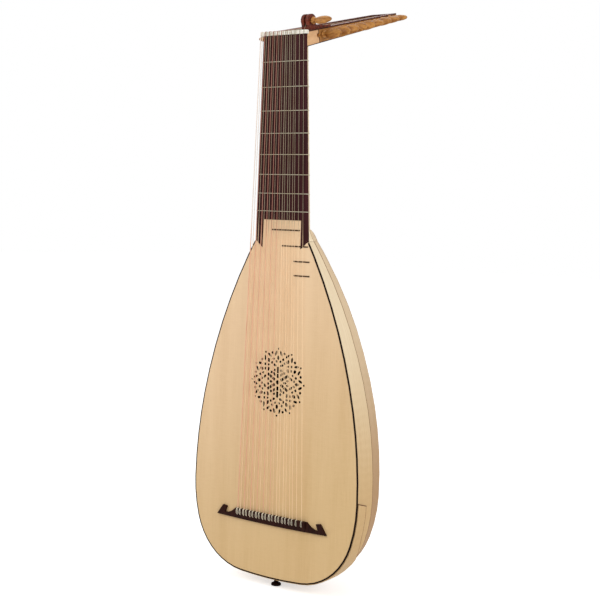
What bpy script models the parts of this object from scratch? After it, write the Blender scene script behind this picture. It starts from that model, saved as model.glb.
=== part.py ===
"""An eleven-course baroque lute, standing upright on its end button.

Metres, +Z up along the neck, +X towards the treble strings, the soundboard faces -Y.
The origin is the middle of the end button's flat face.
"""
import math

import bmesh
import bpy
from mathutils import Matrix, Vector

# Gaps and wood thicknesses
GAP = 0.0003
BOARD = 0.002
RIB = 0.0016
BINDING_WIDTH = 0.0016
CLASP = 0.0012

# End button
BUTTON_LENGTH = 0.013
BUTTON_HEAD = 0.0041
BUTTON_RADIUS = 0.0074
BUTTON_STEM_RADIUS = 0.003
BUTTON_STEM_DEPTH = 0.016
BUTTON_SETBACK = 0.016

# Body outline, a chain of tangent arcs from the widest line
HALF_WIDTH = 0.1532
HIP_RADIUS, HIP_ANGLE = 0.190, math.radians(17.9)
CORNER_RADIUS, CORNER_ANGLE = 0.0992, math.radians(67.6)
SIDE_RADIUS, SIDE_ANGLE = 0.641, math.radians(11.6)
SHOULDER_RADIUS = 0.739

# Bowl
RIB_COUNT = 11
DEPTH_RATIO_NECK = 1.18
DEPTH_RATIO_TAIL = 0.96
RIB_TIP_MARGIN = 0.0035
CLASP_HEIGHT = 0.131
CLASP_DEPTH_SIDE = 0.025
CLASP_DEPTH_TAIL = 0.046
BLOCK_HEIGHT = 0.018
BLOCK_HALF_WIDTH = 0.045

# Neck and fingerboard
JOINT_HALF_WIDTH = 0.049
JOINT_ROUNDING = 0.022
NECK_LENGTH = 0.2932
NUT_HALF_WIDTH = 0.0396
NUT_LEAN = -0.0075
NECK_DEPTH_JOINT, NECK_DEPTH_NUT = 0.0245, 0.0205
HEEL_LENGTH = 0.0175
NECK_FACETS = 10
NECK_BLOCK_LENGTH = 0.045
BEARD_LENGTH = 0.011
BEARD_TIP_HALF_WIDTH = 0.0355
TONGUE_HEIGHT = 0.0294
TONGUE_HALF_WIDTH = 0.035

# Nut, frets and strings
NUT_TOP, NUT_FOOT = 0.005, -0.0006
NUT_FRONT, NUT_BACK = 0.001, 0.0036
NUT_LEFT, NUT_RIGHT = -0.0525, 0.0335
NUT_CORNER = 0.0012
FRETTING_LENGTH = 0.68
BRIDGE_SETBACK = 0.0104
TIED_FRETS = 8
FRET_RADIUS = 0.00045
BODY_FRET_HEIGHT = 0.0007
BODY_FRET_DEPTH = 0.0018
BODY_FRET_DROP = 0.0024
BODY_FRET_SPANS = ((-0.0185, 0.0335), (0.0014, 0.0494), (0.0241, 0.0529), (0.0251, 0.0539))

# Rose
ROSE_BELOW_NUT = 0.4975
ROSE_OFFSET = 0.0025
ROSE_RADIUS = 0.0484

# Bars under the soundboard, placed below the neck joint
BAR_PLACES = (0.075, 0.125, 0.262, 0.305, 0.350)
BAR_WIDTH, BAR_HEIGHT, BAR_END_HEIGHT = 0.005, 0.015, 0.006
BAR_MARGIN = 0.007

# Bridge
BRIDGE_HEIGHT = 0.0062
BRIDGE_WING_HEIGHT = 0.0032
BRIDGE_TOP_DEPTH = 0.0066
BRIDGE_BAR_HALF = 0.067
BRIDGE_TIP_HALF = 0.103
BRIDGE_HORN, BRIDGE_HOLLOW_DROP = 0.088, 0.0094
BRIDGE_HORN_LEAN, BRIDGE_HORN_WIDTH, BRIDGE_HORN_RISE = 0.0034, 0.0072, 0.0011
BRIDGE_TIP_DROP, BRIDGE_MIDDLE_DROP = 0.0136, 0.0154

# Pegbox, measured along its own slope
PEGBOX_RISE = math.radians(13.5)
PEGBOX_LENGTH = 0.2435
PEGBOX_ROOT_HALF, PEGBOX_END_HALF = 0.0396, 0.024
PEGBOX_TOP = 0.0034
PEGBOX_ROOT_HEIGHT, PEGBOX_END_HEIGHT = 0.0223, 0.0125
CHEEK = 0.008
PEGBOX_FLOOR = 0.0025
PEGBOX_END_WALL = 0.0065
ROOT_BACK = 0.0115
SCOOP_LENGTH = 0.034
SCOOP_DEPTH = 0.004

# Pegs, placed along the pegbox from its root
FIRST_BASS_PEG = 0.028
FIRST_TREBLE_PEG = 0.0393
LAST_PEG_FROM_END = 0.0125
BASS_PEGS, TREBLE_PEGS = 10, 9
PEG_SPACING = (PEGBOX_LENGTH - FIRST_BASS_PEG - LAST_PEG_FROM_END) / (BASS_PEGS - 1)
PEG_DEPTH_SHARE = 0.46
PEG_SHANK_RADIUS = 0.0036
PEG_TAPER = 1 / 60
PEG_TIP_OUT = 0.003
PEG_HEAD_LENGTH = 0.034
PEG_SIDES = 8
HOLE_SIDES = 10
WINDING_RADIUS = 0.0042
WINDING_HALF = 0.004
WINDING_FROM_CHEEK = 0.009

# Treble rider
RIDER_INNER, RIDER_OUTER = 0.0208, 0.0340
RIDER_HEAD_RADIUS = 0.0095
RIDER_HEAD_BACK = 0.0095
RIDER_HEAD_RISE = 0.0185
RIDER_TAIL = 0.052
RIDER_SLOT = 0.0038
RIDER_SHANK_RADIUS = PEG_SHANK_RADIUS


def clear_scene():
    for obj in list(bpy.data.objects):
        bpy.data.objects.remove(obj)


def material(name, colour, roughness, metallic=0.0):
    mat = bpy.data.materials.new(name)
    mat.use_nodes = True
    shader = mat.node_tree.nodes["Principled BSDF"]
    shader.inputs["Base Color"].default_value = (*colour, 1.0)
    shader.inputs["Roughness"].default_value = roughness
    shader.inputs["Metallic"].default_value = metallic
    mat.diffuse_color = (*colour, 1.0)
    return mat


def add_object(name, bm, mat=None, smooth_angle=None):
    """Turn a bmesh into a named object, with its faces pointing out."""
    bmesh.ops.recalc_face_normals(bm, faces=bm.faces)
    mesh = bpy.data.meshes.new(name)
    bm.to_mesh(mesh)
    bm.free()
    if smooth_angle:
        mesh.shade_smooth()
        mesh.set_sharp_from_angle(angle=math.radians(smooth_angle))
    if mat:
        mesh.materials.append(mat)
    obj = bpy.data.objects.new(name, mesh)
    bpy.context.collection.objects.link(obj)
    return obj


def loft(rings):
    """Skin a list of equal rings and close both ends."""
    bm = bmesh.new()
    rows = [[bm.verts.new(point) for point in ring] for ring in rings]
    count = len(rows[0])
    for low, high in zip(rows, rows[1:]):
        for i in range(count):
            j = (i + 1) % count
            bm.faces.new((low[i], low[j], high[j], high[i]))
    bm.faces.new(rows[0])
    bm.faces.new(rows[-1])
    return bm


def slab(points, low, high, place):
    """Extrude an outline of (a, b) points between two levels; place maps (a, b, level)."""
    return loft([[place(a, b, level) for a, b in points] for level in (low, high)])


def pierced_plate(name, outline, holes, front, back, mat):
    """A flat plate in the XZ plane with holes, from a filled and extruded curve."""
    curve = bpy.data.curves.new(name, "CURVE")
    curve.dimensions = "2D"
    curve.fill_mode = "BOTH"
    curve.extrude = (back - front) / 2
    for loop in [outline] + holes:
        spline = curve.splines.new("POLY")
        spline.points.add(len(loop) - 1)
        spline.use_cyclic_u = True
        for point, (x, z) in zip(spline.points, loop):
            point.co = (x, z, 0.0, 1.0)
    guide = bpy.data.objects.new(name + "_curve", curve)
    bpy.context.collection.objects.link(guide)
    flat = bpy.data.meshes.new_from_object(guide)
    bpy.data.objects.remove(guide)
    bm = bmesh.new()
    bm.from_mesh(flat)
    bpy.data.meshes.remove(flat)
    bmesh.ops.remove_doubles(bm, verts=bm.verts, dist=0.000001)
    turn = Matrix(((1, 0, 0), (0, 0, 1), (0, 1, 0))).to_4x4()
    bmesh.ops.transform(bm, matrix=turn, verts=bm.verts)
    bmesh.ops.translate(bm, vec=(0, (front + back) / 2, 0), verts=bm.verts)
    return add_object(name, bm, mat)


def boolean(target, cutter, operation, pierced=False):
    """Apply one exact Boolean and remove the cutter; a pierced plate needs the self test."""
    modifier = target.modifiers.new(operation.lower(), "BOOLEAN")
    modifier.operation = operation
    modifier.object = cutter
    modifier.solver = "EXACT"
    modifier.use_self = pierced
    bpy.context.view_layer.update()
    evaluated = target.evaluated_get(bpy.context.evaluated_depsgraph_get())
    result = bpy.data.meshes.new_from_object(evaluated)
    target.modifiers.clear()
    target.data = result
    bpy.data.objects.remove(cutter)


def cord(name, routes, mat, sides=6, cyclic=False):
    """A round cord: one unbroken tube through (point, radius) pairs."""
    curve = bpy.data.curves.new(name, "CURVE")
    curve.dimensions = "3D"
    curve.bevel_depth = 1.0
    curve.bevel_resolution = (sides - 4) // 2
    curve.use_fill_caps = not cyclic
    spline = curve.splines.new("POLY")
    spline.points.add(len(routes) - 1)
    spline.use_cyclic_u = cyclic
    for point, (place, radius) in zip(spline.points, routes):
        point.co = (*place, 1.0)
        point.radius = radius
    obj = bpy.data.objects.new(name, curve)
    bpy.context.collection.objects.link(obj)
    curve.materials.append(mat)
    return obj


def arc(centre, radius, start, end, steps):
    return [(centre[0] + radius * math.cos(start + (end - start) * i / steps),
             centre[1] + radius * math.sin(start + (end - start) * i / steps))
            for i in range(steps + 1)]


def arc_centres():
    """Centres of the outline's arcs, in heights above the widest line."""
    low = -HIP_ANGLE - CORNER_ANGLE
    hip = (HALF_WIDTH - HIP_RADIUS, 0.0)
    corner = (hip[0] + (HIP_RADIUS - CORNER_RADIUS) * math.cos(HIP_ANGLE),
              -(HIP_RADIUS - CORNER_RADIUS) * math.sin(HIP_ANGLE))
    tail_radius = CORNER_RADIUS + corner[0] / math.cos(low)
    tail = (0.0, corner[1] + (CORNER_RADIUS - tail_radius) * math.sin(low))
    side = (HALF_WIDTH - SIDE_RADIUS, 0.0)
    shoulder = (side[0] + (SIDE_RADIUS - SHOULDER_RADIUS) * math.cos(SIDE_ANGLE),
                (SIDE_RADIUS - SHOULDER_RADIUS) * math.sin(SIDE_ANGLE))
    return hip, corner, tail, tail_radius, side, shoulder


HIP, CORNER, TAIL, TAIL_RADIUS, SIDE, SHOULDER = arc_centres()
Z_WIDE = BUTTON_LENGTH - (TAIL[1] - TAIL_RADIUS)
JOINT_ANGLE = math.acos((JOINT_HALF_WIDTH - SHOULDER[0]) / SHOULDER_RADIUS)
Z_JOINT = Z_WIDE + SHOULDER[1] + SHOULDER_RADIUS * math.sin(JOINT_ANGLE)
Z_NUT = Z_JOINT + NECK_LENGTH
Z_BRIDGE = Z_NUT - FRETTING_LENGTH - BRIDGE_SETBACK
Z_ROSE = Z_NUT - ROSE_BELOW_NUT
Y_FACE = -BUTTON_SETBACK
RIB_TIP_RADIUS = BUTTON_SETBACK + BUTTON_STEM_RADIUS + GAP + RIB_TIP_MARGIN


def outline(inset, top, tip=0.0, steps=(6, 4, 3, 9, 2)):
    """Right half of the body's outline as (x, z), from a height down to the tail."""
    def height(centre):
        return (centre[0], centre[1] + Z_WIDE)

    def shoulder_angle(z):
        return math.asin((z - Z_WIDE - SHOULDER[1]) / shoulder_radius)
    shoulder_radius = SHOULDER_RADIUS - inset
    neck_end = [Z_JOINT - JOINT_ROUNDING * i / 3 for i in range(4)]
    shoulder = [top] + [z for z in neck_end if z < top - 0.001]
    crest = [(SHOULDER[0] + shoulder_radius * math.cos(shoulder_angle(z)), z) for z in shoulder[:-1]]
    low = -HIP_ANGLE - CORNER_ANGLE
    tail_radius = TAIL_RADIUS - inset
    end = -math.pi / 2 + math.asin(tip / tail_radius)
    start = shoulder_angle(shoulder[-1])
    pieces = [arc(height(SHOULDER), shoulder_radius, start, SIDE_ANGLE, steps[0]),
              arc(height(SIDE), SIDE_RADIUS - inset, SIDE_ANGLE, 0.0, steps[1]),
              arc(height(HIP), HIP_RADIUS - inset, 0.0, -HIP_ANGLE, steps[2]),
              arc(height(CORNER), CORNER_RADIUS - inset, -HIP_ANGLE, low, steps[3]),
              arc(height(TAIL), tail_radius, low, end, steps[4])]
    return crest + pieces[0] + [point for piece in pieces[1:] for point in piece[1:]]


def half_width_at(inset, z):
    """Half width of the outline at a height."""
    points = outline(inset, Z_JOINT)
    for (x_high, z_high), (x_low, z_low) in zip(points, points[1:]):
        if z_low <= z <= z_high:
            return x_low + (x_high - x_low) * (z - z_low) / (z_high - z_low)
    raise ValueError(z)


def depth_ratio(z):
    """How deep the bowl is for its half width: fuller at the neck, flatter at the tail."""
    share = (z - BUTTON_LENGTH) / (Z_JOINT - BUTTON_LENGTH)
    return DEPTH_RATIO_TAIL + (DEPTH_RATIO_NECK - DEPTH_RATIO_TAIL) * share


def bowl_point(radius, z, joint):
    """A point of the bowl's cross-section where rib joint number `joint` runs."""
    angle = math.pi * joint / RIB_COUNT
    return Vector((radius * math.cos(angle), Y_FACE + depth_ratio(z) * radius * math.sin(angle), z))


def rib_edge(radius, z, joint, towards, share):
    """A corner of a rib, moved off the joint along the rib's flat chord."""
    here = bowl_point(radius, z, joint)
    chord = (bowl_point(radius, z, towards) - here).normalized()
    if joint in (0, RIB_COUNT):
        return here + chord * (BOARD + GAP) / chord.y
    return here + chord * share


def build_rib(index, mat):
    outer = outline(0.0, Z_JOINT, RIB_TIP_RADIUS)
    inner = outline(RIB, Z_JOINT, RIB_TIP_RADIUS)
    share = GAP / 2 / math.cos(math.pi / 2 / RIB_COUNT)
    rings = []
    for (x_out, z_out), (x_in, z_in) in zip(outer, inner):
        rings.append([rib_edge(x_out, z_out, index, index + 1, share),
                      rib_edge(x_out, z_out, index + 1, index, share),
                      rib_edge(x_in, z_in, index + 1, index, share),
                      rib_edge(x_in, z_in, index, index + 1, share)])
    return add_object(f"rib_{index + 1:02d}", loft(rings), mat, 20)


def bowl_solid(name, inset, top, tip, front):
    """The closed half-round form inside a given skin, cut flat at the front."""
    rings = []
    for x, z in outline(inset, top, tip):
        ring = [bowl_point(x, z, joint) for joint in range(RIB_COUNT + 1)]
        for corner, inward in ((0, 1), (-1, -2)):
            chord = (ring[inward] - ring[corner]).normalized()
            ring[corner] = ring[corner] + chord * (front - ring[corner].y) / chord.y
        rings.append(ring)
    return add_object(name, loft(rings))


def block(name, low, high):
    """A plain box between two corners, used as a cutter or a bar."""
    corners = [(low[0], low[1]), (high[0], low[1]), (high[0], high[1]), (low[0], high[1])]
    return add_object(name, slab(corners, low[2], high[2], lambda a, b, level: (a, b, level)))


def build_end_clasp(mat):
    """The capping strip round the tail, in one piece with the block that the ribs end on."""
    front = Y_FACE + BOARD + GAP
    top = BUTTON_LENGTH + CLASP_HEIGHT
    tip = RIB_TIP_RADIUS / 2
    skin = bowl_solid("clasp_skin", -GAP - CLASP, Z_JOINT, tip, front)
    boolean(skin, bowl_solid("clasp_core", -GAP, Z_JOINT + 0.001, tip, front - 0.01), "DIFFERENCE")
    side = [(front - 0.01, top + 0.004), (Y_FACE + CLASP_DEPTH_SIDE, top - 0.004)]
    steps = 5
    drop = (CLASP_HEIGHT - 0.05) / steps
    for i in range(steps + 1):
        share = (1 - math.cos(math.pi * i / steps)) / 2
        depth = CLASP_DEPTH_SIDE + (CLASP_DEPTH_TAIL - CLASP_DEPTH_SIDE) * share
        side.append((Y_FACE + depth, top - 0.045 - drop * i))
    side += [(Y_FACE + CLASP_DEPTH_TAIL, -0.01), (front - 0.01, -0.01)]
    wide = 2 * HALF_WIDTH
    region = add_object("clasp_region", slab(side, -wide, wide, lambda a, b, level: (level, a, b)))
    boolean(skin, region, "INTERSECT")
    inner = RIB + GAP
    wood = bowl_solid("clasp_block", inner, Z_JOINT, tip, front)
    reach = (Y_FACE + CLASP_DEPTH_TAIL, BUTTON_LENGTH + BLOCK_HEIGHT)
    boolean(wood, block("block_region", (-BLOCK_HALF_WIDTH, front, -0.01),
                        (BLOCK_HALF_WIDTH, *reach)), "INTERSECT")
    boss_radius = RIB_TIP_RADIUS - 2 * GAP
    boss = [(boss_radius * math.cos(math.pi * i / RIB_COUNT),
             max(boss_radius * math.sin(math.pi * i / RIB_COUNT) * DEPTH_RATIO_TAIL + Y_FACE, front))
            for i in range(RIB_COUNT + 1)]
    middle = add_object("clasp_boss", slab(boss, BUTTON_LENGTH - GAP - CLASP / 2,
                                           BUTTON_LENGTH + BLOCK_HEIGHT / 2,
                                           lambda a, b, level: (a, b, level)))
    boolean(skin, middle, "UNION")
    boolean(skin, wood, "UNION")
    stem = BUTTON_STEM_RADIUS + 2 * GAP
    hole = [(stem * math.cos(math.tau * i / 12), stem * math.sin(math.tau * i / 12))
            for i in range(12)]
    depth = BUTTON_LENGTH + BUTTON_STEM_DEPTH + 2 * GAP
    boolean(skin, add_object("stem_hole", slab(hole, -0.01, depth,
                                               lambda a, b, level: (a, b, level))), "DIFFERENCE")
    skin.name = "end_clasp"
    skin.data.materials.clear()
    skin.data.materials.append(mat)
    return skin


def turned(profile, sides):
    """Rings round the Z axis from (radius, z) pairs."""
    return loft([[(r * math.cos(math.tau * i / sides), r * math.sin(math.tau * i / sides), z)
                  for i in range(sides)] for r, z in profile])


def build_end_button(mat):
    rim = 0.0009
    profile = [(BUTTON_RADIUS - 2 * rim, 0.0), (BUTTON_RADIUS - rim / 2, rim / 2),
               (BUTTON_RADIUS, BUTTON_HEAD / 2), (BUTTON_RADIUS - rim, BUTTON_HEAD),
               (BUTTON_STEM_RADIUS + rim, BUTTON_HEAD + rim),
               (BUTTON_STEM_RADIUS, BUTTON_HEAD + 4 * rim),
               (BUTTON_STEM_RADIUS, BUTTON_LENGTH + BUTTON_STEM_DEPTH)]
    return add_object("end_button", turned(profile, 16), mat, 35)


def build_binding(mat):
    """The dark edging laid round the soundboard."""
    top = Z_JOINT - 0.002
    outer = outline(0.0, top)
    inner = outline(BINDING_WIDTH, top)
    half = list(zip(outer, inner))
    both = half + [((-a[0], a[1]), (-b[0], b[1])) for a, b in reversed(half[:-1])]
    rings = [[(a[0], Y_FACE, a[1]), (b[0], Y_FACE, b[1]),
              (b[0], Y_FACE + BOARD, b[1]), (a[0], Y_FACE + BOARD, a[1])] for a, b in both]
    return add_object("edge_binding", loft(rings), mat)


def beard_line(x):
    """Height of the mitred end of the fingerboard's points."""
    share = (JOINT_HALF_WIDTH - x) / (JOINT_HALF_WIDTH - BEARD_TIP_HALF_WIDTH)
    return Z_JOINT - BEARD_LENGTH * share


def beard_edge(z):
    """Half width to the mitred end of the points at a height."""
    share = (Z_JOINT - z) / BEARD_LENGTH
    return JOINT_HALF_WIDTH + (BEARD_TIP_HALF_WIDTH - JOINT_HALF_WIDTH) * share


def turned_shape(shape, degrees):
    c, s = math.cos(math.radians(degrees)), math.sin(math.radians(degrees))
    return [(x * c - z * s, x * s + z * c) for x, z in shape]


def rose_hole(place, degrees, long_half, wide_half, tilt=0, square=False):
    """One opening, in hundredths of the rose's radius, its long axis tilted from the radius."""
    if square:
        shape = [(long_half, -wide_half), (long_half, wide_half), (-long_half, wide_half),
                 (-long_half, -wide_half)]
    else:
        near, far = long_half * 0.45, long_half
        shape = [(far, 0), (near, wide_half), (-near, wide_half), (-far, 0), (-near, -wide_half),
                 (near, -wide_half)]
    shape = [(x + place, z) for x, z in turned_shape(shape, tilt)]
    size = ROSE_RADIUS / 100
    return turned_shape([(x * size, z * size) for x, z in shape], degrees)


def rose_holes():
    """Every opening of the rose, about its centre."""
    holes = [rose_hole(0, 30, 7.4, 6.4)]
    for step in range(12):
        turn = 30 * step
        holes.append(rose_hole(100, turn, 3.4, 3.0))
        holes.append(rose_hole(73.2, turn, 7.4, 4.6))
        holes.append(rose_hole(90.2, turn + 15, 4.4, 4.2))
        holes.append(rose_hole(71.5, turn + 15, 3.5, 3.5, 45, True))
        for side in (-1, 1):
            holes.append(rose_hole(87.0, turn + side * 6.5, 9.2, 3.5, -30 * side))
            holes.append(rose_hole(62.4, turn + side * 6.9, 4.8, 3.2, 50 * side))
    for step in range(6):
        turn = 60 * step
        for low, high in ((12.8, 25.0), (27.4, 45.8)):
            holes.append(rose_hole((low + high) / 2, turn + 30, (high - low) / 2, 4.2, 0, True))
        holes.append(rose_hole(27.6, turn, 7.0, 3.4))
        for side in (-1, 1):
            holes.append(rose_hole(37.8, turn + side * 11, 3.6, 3.6, 45, True))
            holes.append(rose_hole(52.6, turn + 30 + side * 15, 7.4, 3.6, 57 * side))
    return holes


def build_soundboard(mat):
    inset = BINDING_WIDTH + GAP
    step = GAP * 1.4
    low_top, high_top = Z_JOINT - BEARD_LENGTH, Z_JOINT
    for _ in range(40):
        middle = (low_top + high_top) / 2
        x = outline(inset, middle)[0][0]
        if middle > beard_line(x) - step:
            high_top = middle
        else:
            low_top = middle
    half = outline(inset, low_top)
    tongue = [(TONGUE_HALF_WIDTH - GAP, Z_JOINT + TONGUE_HEIGHT - GAP),
              (BEARD_TIP_HALF_WIDTH - GAP, Z_JOINT - BEARD_LENGTH + GAP),
              (BEARD_TIP_HALF_WIDTH + GAP, Z_JOINT - BEARD_LENGTH - step)]
    right = tongue + half
    edge = right + [(-x, z) for x, z in reversed(right[:-1])]
    holes = [[(x + ROSE_OFFSET, z + Z_ROSE) for x, z in hole] for hole in rose_holes()]
    board = pierced_plate("soundboard", edge, holes, Y_FACE, Y_FACE + BOARD, mat)
    sink = 0.0002
    for number, (left, right_end) in enumerate(BODY_FRET_SPANS, TIED_FRETS + 1):
        z = fret_height(number) - BODY_FRET_DROP
        top = -BODY_FRET_HEIGHT
        ends = [(left, top), (right_end, top), (right_end, sink)]
        if beard_line(BEARD_TIP_HALF_WIDTH) < z < Z_JOINT:
            low_x, high_x = TONGUE_HALF_WIDTH - 3 * GAP, beard_edge(z) + 4 * GAP
            ends += [(high_x, sink), (high_x, -GAP), (low_x, -GAP), (low_x, sink)]
        ends.append((left, sink))
        strip = slab(ends, z - BODY_FRET_DEPTH / 2, z + BODY_FRET_DEPTH / 2,
                     lambda a, b, level: (a, Y_FACE + b, level))
        boolean(board, add_object("body_fret", strip), "UNION", True)
    back = Y_FACE + BOARD
    bar_half, bar_height, end_height = BAR_WIDTH / 2, BAR_HEIGHT, BAR_END_HEIGHT
    for below in BAR_PLACES:
        z = Z_JOINT - below
        x = min(half_width_at(RIB, z - bar_half), half_width_at(RIB, z + bar_half)) - BAR_MARGIN
        side = [(-x, back - sink), (x, back - sink), (x, back + end_height),
                (x * 0.86, back + bar_height), (-x * 0.86, back + bar_height), (-x, back + end_height)]
        bar = add_object("bar", slab(side, z - bar_half, z + bar_half, lambda a, b, level: (a, b, level)))
        boolean(board, bar, "UNION", True)
    board.data.materials.clear()
    board.data.materials.append(mat)
    return board


def neck_centre(z):
    return NUT_LEAN * (z - Z_JOINT) / NECK_LENGTH


def neck_half_width(z):
    return JOINT_HALF_WIDTH + (NUT_HALF_WIDTH - JOINT_HALF_WIDTH) * (z - Z_JOINT) / NECK_LENGTH


def neck_depth(z):
    """Depth of the neck behind the fingerboard's face, swelling at the heel to meet the bowl."""
    share = (z - Z_JOINT) / NECK_LENGTH
    depth = NECK_DEPTH_JOINT + (NECK_DEPTH_NUT - NECK_DEPTH_JOINT) * share
    swell = max(0.0, 1 - (z - Z_JOINT) / HEEL_LENGTH)
    heel = JOINT_HALF_WIDTH * DEPTH_RATIO_NECK
    return depth + (heel - depth) * math.sqrt(swell)


def neck_section(z, grow=0.0):
    """The half-round back of the neck, from the treble edge to the bass edge."""
    points = []
    depth = neck_depth(z)
    first = math.asin((BOARD + GAP) / depth)
    for i in range(NECK_FACETS + 1):
        angle = first + (math.pi - 2 * first) * i / NECK_FACETS
        x = neck_centre(z) + (neck_half_width(z) + grow) * math.cos(angle)
        points.append((x, Y_FACE + (depth + grow) * math.sin(angle), z))
    return points


def build_neck(mat):
    top = Z_NUT + 0.004
    swell = [Z_JOINT + GAP + (HEEL_LENGTH - GAP) * (1 - (1 - i / 4) ** 2) for i in range(5)]
    neck = add_object("neck", loft([neck_section(z) for z in swell + [top]]))
    inset = RIB + 2 * GAP
    low = Z_JOINT - NECK_BLOCK_LENGTH
    wood = bowl_solid("neck_block", inset, Z_JOINT + 0.002, RIB_TIP_RADIUS, Y_FACE + BOARD + GAP)
    boolean(wood, block("below", (-0.3, -0.3, -0.1), (0.3, 0.3, low)), "DIFFERENCE")
    boolean(neck, wood, "UNION")
    run = 0.2
    cut = [(Y_FACE - 0.01, pegbox_bottom(-0.01) - GAP), (Y_FACE + run, pegbox_bottom(run) - GAP),
           (Y_FACE + run, Z_NUT + run), (Y_FACE - 0.01, Z_NUT + run)]
    boolean(neck, add_object("neck_end", slab(cut, -0.3, 0.3, lambda a, b, level: (level, a, b))),
            "DIFFERENCE")
    neck.data.materials.clear()
    neck.data.materials.append(mat)
    return neck


def build_fingerboard(mat):
    top = Z_NUT + NUT_FOOT - GAP
    ends = []
    for side in (1, -1):
        ends.append((neck_centre(top) + side * neck_half_width(top), top))
    right = [ends[0], (JOINT_HALF_WIDTH, Z_JOINT), (BEARD_TIP_HALF_WIDTH, Z_JOINT - BEARD_LENGTH),
             (TONGUE_HALF_WIDTH, Z_JOINT + TONGUE_HEIGHT)]
    left = [(-TONGUE_HALF_WIDTH, Z_JOINT + TONGUE_HEIGHT),
            (-BEARD_TIP_HALF_WIDTH, Z_JOINT - BEARD_LENGTH), (-JOINT_HALF_WIDTH, Z_JOINT), ends[1]]
    return pierced_plate("fingerboard", right + left, [], Y_FACE, Y_FACE + BOARD, mat)


def build_nut(mat):
    round_off = NUT_CORNER
    side = [(-NUT_FRONT, NUT_FOOT), (-NUT_FRONT, NUT_TOP - round_off),
            (-NUT_FRONT + round_off * 0.3, NUT_TOP - round_off * 0.3),
            (-NUT_FRONT + round_off, NUT_TOP), (NUT_BACK, NUT_TOP), (NUT_BACK, NUT_FOOT)]
    side = [(y + Y_FACE, z + Z_NUT) for y, z in side]
    return add_object("nut", slab(side, NUT_LEFT, NUT_RIGHT, lambda a, b, level: (level, a, b)), mat)


def fret_height(number):
    return Z_NUT - FRETTING_LENGTH * (1 - 2 ** (-number / 12))


def build_tied_fret(number, mat):
    z = fret_height(number)
    lift = FRET_RADIUS + GAP
    middle, half = neck_centre(z), neck_half_width(z)
    corner = 0.0002
    route = []
    for sign, edge in ((1, 0), (-1, -1)):
        side = neck_section(z, lift)[edge]
        ends = [(middle + sign * (half + corner), Y_FACE - lift, z),
                (middle + sign * (half + lift), Y_FACE - corner, z),
                (middle + sign * (half + lift), side[1], z)]
        if sign > 0:
            route += ends + neck_section(z, lift)[1:-1]
        else:
            route += ends[::-1]
    return cord(f"tied_fret_{number}", [(point, FRET_RADIUS) for point in route], mat, 6, True)


def bridge_outline():
    bar, low, horn = BRIDGE_BAR_HALF, BRIDGE_HOLLOW_DROP, BRIDGE_HORN
    run = horn - bar
    half = [(bar, 0.0), (bar + run * 0.35, -low * 0.62), (bar + run * 0.68, -low * 0.93),
            (horn, -low), (horn - BRIDGE_HORN_LEAN, 0.0),
            (horn - BRIDGE_HORN_LEAN + BRIDGE_HORN_WIDTH, BRIDGE_HORN_RISE),
            (BRIDGE_TIP_HALF, -BRIDGE_TIP_DROP)]
    sag = BRIDGE_MIDDLE_DROP - BRIDGE_TIP_DROP
    steps = 6
    lower = [(BRIDGE_TIP_HALF * (1 - i / steps),
              -BRIDGE_TIP_DROP - sag * (1 - (1 - i / steps) ** 2)) for i in range(1, steps + 1)]
    right = half + lower
    return [(x, z + Z_BRIDGE) for x, z in right + [(-x, z) for x, z in reversed(right[:-1])]]


def build_bridge(mat):
    seat = Y_FACE - GAP
    bridge = pierced_plate("bridge", bridge_outline(), [], seat - BRIDGE_WING_HEIGHT, seat, mat)
    low = 0.0010
    side = [(seat - low, 0.0), (seat - BRIDGE_HEIGHT, 0.0), (seat - BRIDGE_HEIGHT, -BRIDGE_TOP_DEPTH),
            (seat - BRIDGE_WING_HEIGHT + low, -BRIDGE_TIP_DROP), (seat - low, -BRIDGE_TIP_DROP)]
    side = [(y, z + Z_BRIDGE) for y, z in side]
    bar = add_object("bar", slab(side, -BRIDGE_BAR_HALF + low, BRIDGE_BAR_HALF - low,
                                 lambda a, b, level: (level, a, b)))
    boolean(bridge, bar, "UNION")
    bridge.data.materials.clear()
    bridge.data.materials.append(mat)
    return bridge


def pegbox_place(along, up, x=0.0):
    """World place of a point given along the pegbox's slope and square to it."""
    c, s = math.cos(PEGBOX_RISE), math.sin(PEGBOX_RISE)
    return Vector((NUT_LEAN + x, Y_FACE + along * c - up * s, Z_NUT + along * s + up * c))


def pegbox_half(along):
    return PEGBOX_ROOT_HALF + (PEGBOX_END_HALF - PEGBOX_ROOT_HALF) * along / PEGBOX_LENGTH


def pegbox_height(along):
    return PEGBOX_ROOT_HEIGHT + (PEGBOX_END_HEIGHT - PEGBOX_ROOT_HEIGHT) * along / PEGBOX_LENGTH


def pegbox_depth(along):
    """Distance of the pegbox's underside below its slope line."""
    return pegbox_height(along) - PEGBOX_TOP


def pegbox_bottom(back):
    """Height of the pegbox's underside at a distance behind the soundboard's face."""
    first, last = pegbox_place(0, -pegbox_depth(0)), pegbox_place(PEGBOX_LENGTH, -pegbox_depth(PEGBOX_LENGTH))
    slope = (last.z - first.z) / (last.y - first.y)
    return first.z + slope * (back + Y_FACE - first.y)


def pegbox_slab(name, side, shrink=0.0):
    """A wedge from side-view (y, z) points, as wide as the pegbox is at each of them."""
    c, s = math.cos(PEGBOX_RISE), math.sin(PEGBOX_RISE)
    rings = []
    for sign in (-1, 1):
        ring = []
        for y, z in side:
            along = (y - Y_FACE) * c + (z - Z_NUT) * s
            ring.append((NUT_LEAN + sign * (pegbox_half(along) - shrink), y, z))
        rings.append(ring)
    return add_object(name, loft(rings))


def peg_axis(along):
    """Level of the pegs' holes in the cheeks."""
    return PEGBOX_TOP - PEG_DEPTH_SHARE * pegbox_height(along)


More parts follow.
